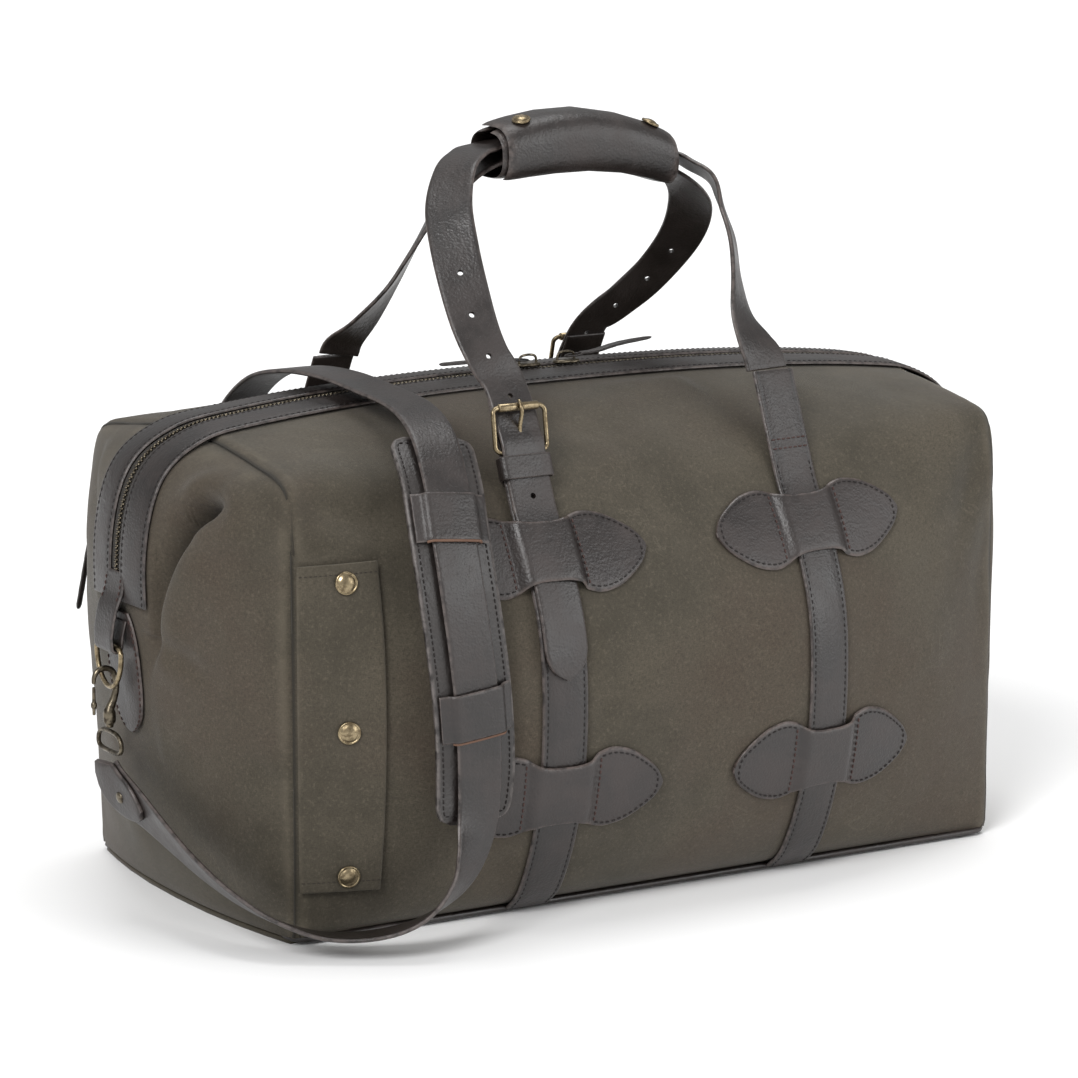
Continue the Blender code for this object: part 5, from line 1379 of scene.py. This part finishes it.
def shoulder_pad():
    """The padded leather piece under the strap: a swollen slab with a sewn flat rim."""
    centres, sides, faces, flow = pad_course()
    along = lengths(centres)
    total = along[-1]
    from_end = np.minimum(along, total - along)
    corner = 0.012
    cut = np.clip(1 - from_end / corner, 0, 1)
    half = PAD_WIDTH / 2 - corner * (1 - np.sqrt(np.clip(1 - cut**2, 0, 1))) * 0.9
    down = STRAP_LEATHER / 2 + 0.0011 + PAD_THICK / 2
    middle = centres - faces * down
    count = 17
    across = np.sin(np.pi / 2 * np.linspace(-1, 1, count)) * 0.4 + np.linspace(-1, 1, count) * 0.6
    grid = middle[:, None] + sides[:, None] * (half[:, None] * across[None])[..., None]
    inner = np.minimum((1 - np.abs(across))[None] * half[:, None],
                       from_end[:, None] + 0.0006)
    thick = 0.0019 + (PAD_THICK / 2 - 0.0024) * smoothstep(inner, 0.0035, 0.0095)
    top = grid + faces[:, None] * (thick * 0.75)[..., None]
    low = grid - faces[:, None] * thick[..., None]
    rings = np.concatenate([top, low[:, ::-1]], 1)
    rim = np.concatenate([inner, inner[:, ::-1]], 1)
    edge = 1 - smoothstep(rim, 0.0006, 0.0018)
    cloth = np.zeros(rings.shape)
    cloth[..., 0] = along[:, None]
    cloth[..., 1] = np.concatenate([half[:, None] * across, half[:, None] * across[::-1]], 1)
    pad = piece("shoulder_pad_leather", rings, ring_faces(*rings.shape[:2]), PAD_FINISH, "root",
                ["shoulder_pad"], edge, cloth)
    swell(pad, rim.ravel() < 0.0045, 0.0016)
    inset = np.clip(half - 0.0042, 0.001, None)
    ring = [i for i in range(len(centres)) if from_end[i] > 0.0042]
    for way in (-1, 1):
        row = grid_line(middle, sides, inset * way, ring) + faces[ring] * 0.0017
        sew("pad_stitches", "root", THREAD_FINISH, row, faces[ring], pitch=0.0042, radius=0.0005)
    for i in (ring[0], ring[-1]):
        t = np.linspace(-1, 1, 20)[:, None]
        row = middle[i] + sides[i] * inset[i] * t + faces[i] * 0.0017
        sew("pad_stitches", "root", THREAD_FINISH, row, np.broadcast_to(faces[i], row.shape),
            pitch=0.0042, radius=0.0005)
    for number, part in enumerate(PAD_LOOPS):
        i = int(part * (len(centres) - 1))
        pad_loop(f"pad_loop_{number + 1}", centres[i], sides[i], faces[i], flow[i])


def grid_line(middle, sides, offset, rows):
    """The chosen rows of a line, moved sideways."""
    return (middle + sides * offset[:, None])[rows]


def pad_loop(name, centre, side, face, along):
    """A loop of leather over the strap, pale at its cut lower edge."""
    over = STRAP_LEATHER / 2 + 0.0006
    half = STRAP_WIDTH / 2 + 0.0016
    path = [(-half - 0.0078, -over - 0.0012), (-half - 0.0030, -over + 0.0002),
            (-half - 0.0006, -0.0004), (-half + 0.0012, over * 0.85),
            (-half + 0.005, over + 0.0002),
            (0, over + 0.0006), (half - 0.005, over + 0.0002), (half - 0.0012, over * 0.85),
            (half + 0.0006, -0.0004), (half + 0.0030, -over + 0.0002),
            (half + 0.0078, -over - 0.0012)]
    line = resampled(spline(path, 160), 0.0012)[0]
    flow = tangents(line)
    points = centre + side * line[:, :1] + face * line[:, 1:]
    out = -side * flow[:, 1:2] + face * flow[:, :1]
    base = points[:, None] + along * (0.0170 * ACROSS)[None, :, None]
    band(name, base, np.broadcast_to(out[:, None], base.shape), 0.0020, 0.0, finish=LEATHER_FINISH)
    lower = points[6:-6] - along * 0.0172
    raw = np.stack([lower + along * u + out[6:-6] * w for u, w in (
        (0.0006, 0.0001), (-0.0007, 0.0003), (-0.0008, 0.0010), (-0.0007, 0.0018),
        (0.0006, 0.0020))], 1)
    cloth = np.zeros(raw.shape)
    piece(name + "_raw_edge", raw, ring_faces(*raw.shape[:2]), RAW_EDGE, "root",
          edge=np.zeros(raw.shape[:2]), cloth=cloth)


def swell(made, pinned, most):
    """Blows the piece up as cloth with its rim held, each point moving most metres at most."""
    before = np.array([v.co for v in made.data.vertices])
    group = made.vertex_groups.new(name="rim")
    group.add([int(i) for i in np.flatnonzero(pinned)], 1.0, "REPLACE")
    cloth = made.modifiers.new("cloth", "CLOTH")
    cloth.settings.use_pressure = True
    cloth.settings.uniform_pressure_force = 4.0
    cloth.settings.effector_weights.gravity = 0.0
    cloth.settings.vertex_group_mass = "rim"
    cloth.settings.tension_stiffness = 60
    cloth.settings.bending_stiffness = 4
    for number in range(1, 16):
        bpy.context.scene.frame_set(number)
    graph = bpy.context.evaluated_depsgraph_get()
    done = made.evaluated_get(graph).to_mesh()
    after = np.array([v.co for v in done.vertices])
    made.evaluated_get(graph).to_mesh_clear()
    made.modifiers.clear()
    bpy.context.scene.frame_set(1)
    moved = after - before
    size = np.linalg.norm(moved, axis=1, keepdims=True)
    moved = moved * np.minimum(1.0, most / np.maximum(size, 1e-9))
    made.data.vertices.foreach_set("co", (before + moved).astype(np.float32).ravel())
    made.data.update()


def main_pieces():
    """Every piece of the bag."""
    canvas_walls()
    canvas_ends()
    facings()
    zipper()
    runs = {}
    for side, face, pivot in ((-1, "front", FRONT_PIVOT), (1, "back", BACK_PIVOT)):
        for x, hand in ((-STRAP_X, "left"), (STRAP_X, "right")):
            tailed = (side < 0) == (x < 0)
            runs[face, hand] = base_strap(
                f"{face}_{hand}_strap", side, x, pivot, 0.0045 if tailed else 0.0026,
                f"{face}_{hand}_base_strap")
            high = GAP + STRAP_LEATHER + (STRAP_LEATHER + 0.0012 if tailed else 0.0004)
            patch(f"{face}_{hand}_upper_bow", side, x, 0.257, high, f"{face}_{hand}_upper_patch")
            patch(f"{face}_{hand}_lower_bow", side, x, 0.094, GAP + STRAP_LEATHER + 0.0004,
                  f"{face}_{hand}_lower_patch")
    tails = {face: tail_course(*runs[face, hand])
             for face, hand in (("front", "left"), ("back", "right"))}
    upper = [(x, z + STACKED) for x, z in WRAP_COURSE]
    lower = [(x, z - STACKED) for x, z in reversed(WRAP_COURSE)]
    handle("front_handle_strap", FRONT_LEFT_LEG, FRONT_RIGHT_LEG, upper, (0, -1, 0),
           "handle_front", ["front_handle", "front_tail_strap"],
           tails["front"])
    handle("back_handle_strap", BACK_RIGHT_LEG, BACK_LEFT_LEG, lower, (0, 1, 0),
           "handle_back", ["back_handle", "back_tail_strap"],
           tails["back"])
    for face, hand in (("front", "right"), ("back", "left")):
        box_stitch(face, *runs[face, hand])
    grip()
    centres, sides = shoulder_strap()
    strap_end("left", centres, sides, False)
    strap_end("right", centres, sides, True)
    shoulder_pad()
    pocket()
    for prefix, side in (("left", -1), ("right", 1)):
        end_tab(prefix, side)
    for face, hand, side in (("front", "left", -1), ("back", "right", 1)):
        keeper(f"{face}_strap_keeper", *runs[face, hand], f"{face}_keeper")
        buckle(face, side, runs[face, hand][0])
    for node in ("left_d_ring", "right_d_ring"):
        keep_node(node, BRASS)
    for node in ("left_hook", "right_hook", "left_hook_eye", "right_hook_eye", "left_hook_gate",
                 "right_hook_gate", "left_zip_slider", "right_zip_slider", "back_pocket_slider"):
        keep_node(node, DARK_BRASS)
    piping()
    for node in ("left_zip_pull", "right_zip_pull", "back_pocket_pull"):
        keep_node(node, LEATHER_FINISH, 1)
    keep_node("bottom_panel", CANVAS_FINISH, 0)
    keep_node("back_pocket_zip", TAPE_FINISH, 0)


# ---- camera, floor and light --------------------------------------------------------------
LAMPS = (                   # name, where it shines from, strength, spread in degrees
    ("key", (-2.1, -1.4, 2.0), 2.05, 24),
    ("top", (0.5, 0.7, 3.0), 1.30, 35),
    ("fill", (1.7, -2.4, 0.9), 1.10, 40),
)
SKY = 0.42                  # the world's brightness
FLOOR_HALF = 12.0
CAMERA_AZIMUTH, CAMERA_ELEVATION = math.radians(-30.95), math.radians(11.25)
CAMERA_DISTANCE, CAMERA_LENS = 3.3493, 153.6
CAMERA_TARGET = Vector((-0.0065, 0.0, 0.2277))


def studio():
    """The pale floor, the soft lamps, and the camera at the photograph's angle."""
    world = bpy.data.worlds.new("studio")
    world.use_nodes = True
    world.node_tree.nodes["Background"].inputs["Color"].default_value = (1, 1, 1, 1)
    world.node_tree.nodes["Background"].inputs["Strength"].default_value = SKY
    bpy.context.scene.world = world
    bpy.context.scene.view_settings.view_transform = "Standard"
    mesh = bpy.data.meshes.new("floor")
    half = FLOOR_HALF
    mesh.from_pydata([(-half, -half, 0), (half, -half, 0), (half, half, 0), (-half, half, 0)], [],
                     [(0, 1, 2, 3)])
    paint = Paint("studio_floor")
    place = paint.place()
    paint.colour(paint.mix(paint.noise(place, 3.0), (0.93, 0.93, 0.93), (0.96, 0.96, 0.96)))
    paint.set(Roughness=0.9, Specular_IOR_Level=0.1)
    mesh.materials.append(paint.material)
    floor = bpy.data.objects.new("floor", mesh)
    bpy.context.scene.collection.objects.link(floor)
    for name, place, strength, spread in LAMPS:
        lamp = bpy.data.lights.new(name, "SUN")
        lamp.energy = strength
        lamp.angle = math.radians(spread)
        made = bpy.data.objects.new(name, lamp)
        made.rotation_mode = "QUATERNION"
        made.rotation_quaternion = (-Vector(place)).to_track_quat("-Z", "Y")
        bpy.context.scene.collection.objects.link(made)
    level = math.cos(CAMERA_ELEVATION)
    back = Vector((math.sin(CAMERA_AZIMUTH) * level, -math.cos(CAMERA_AZIMUTH) * level,
                   math.sin(CAMERA_ELEVATION)))
    lens = bpy.data.cameras.new("camera")
    lens.lens = CAMERA_LENS
    camera = bpy.data.objects.new("camera", lens)
    camera.location = CAMERA_TARGET + back * CAMERA_DISTANCE
    camera.rotation_mode = "QUATERNION"
    camera.rotation_quaternion = (-back).to_track_quat("-Z", "Y")
    bpy.context.scene.collection.objects.link(camera)
    bpy.context.scene.camera = camera


studio()
main_pieces()
make_seams()
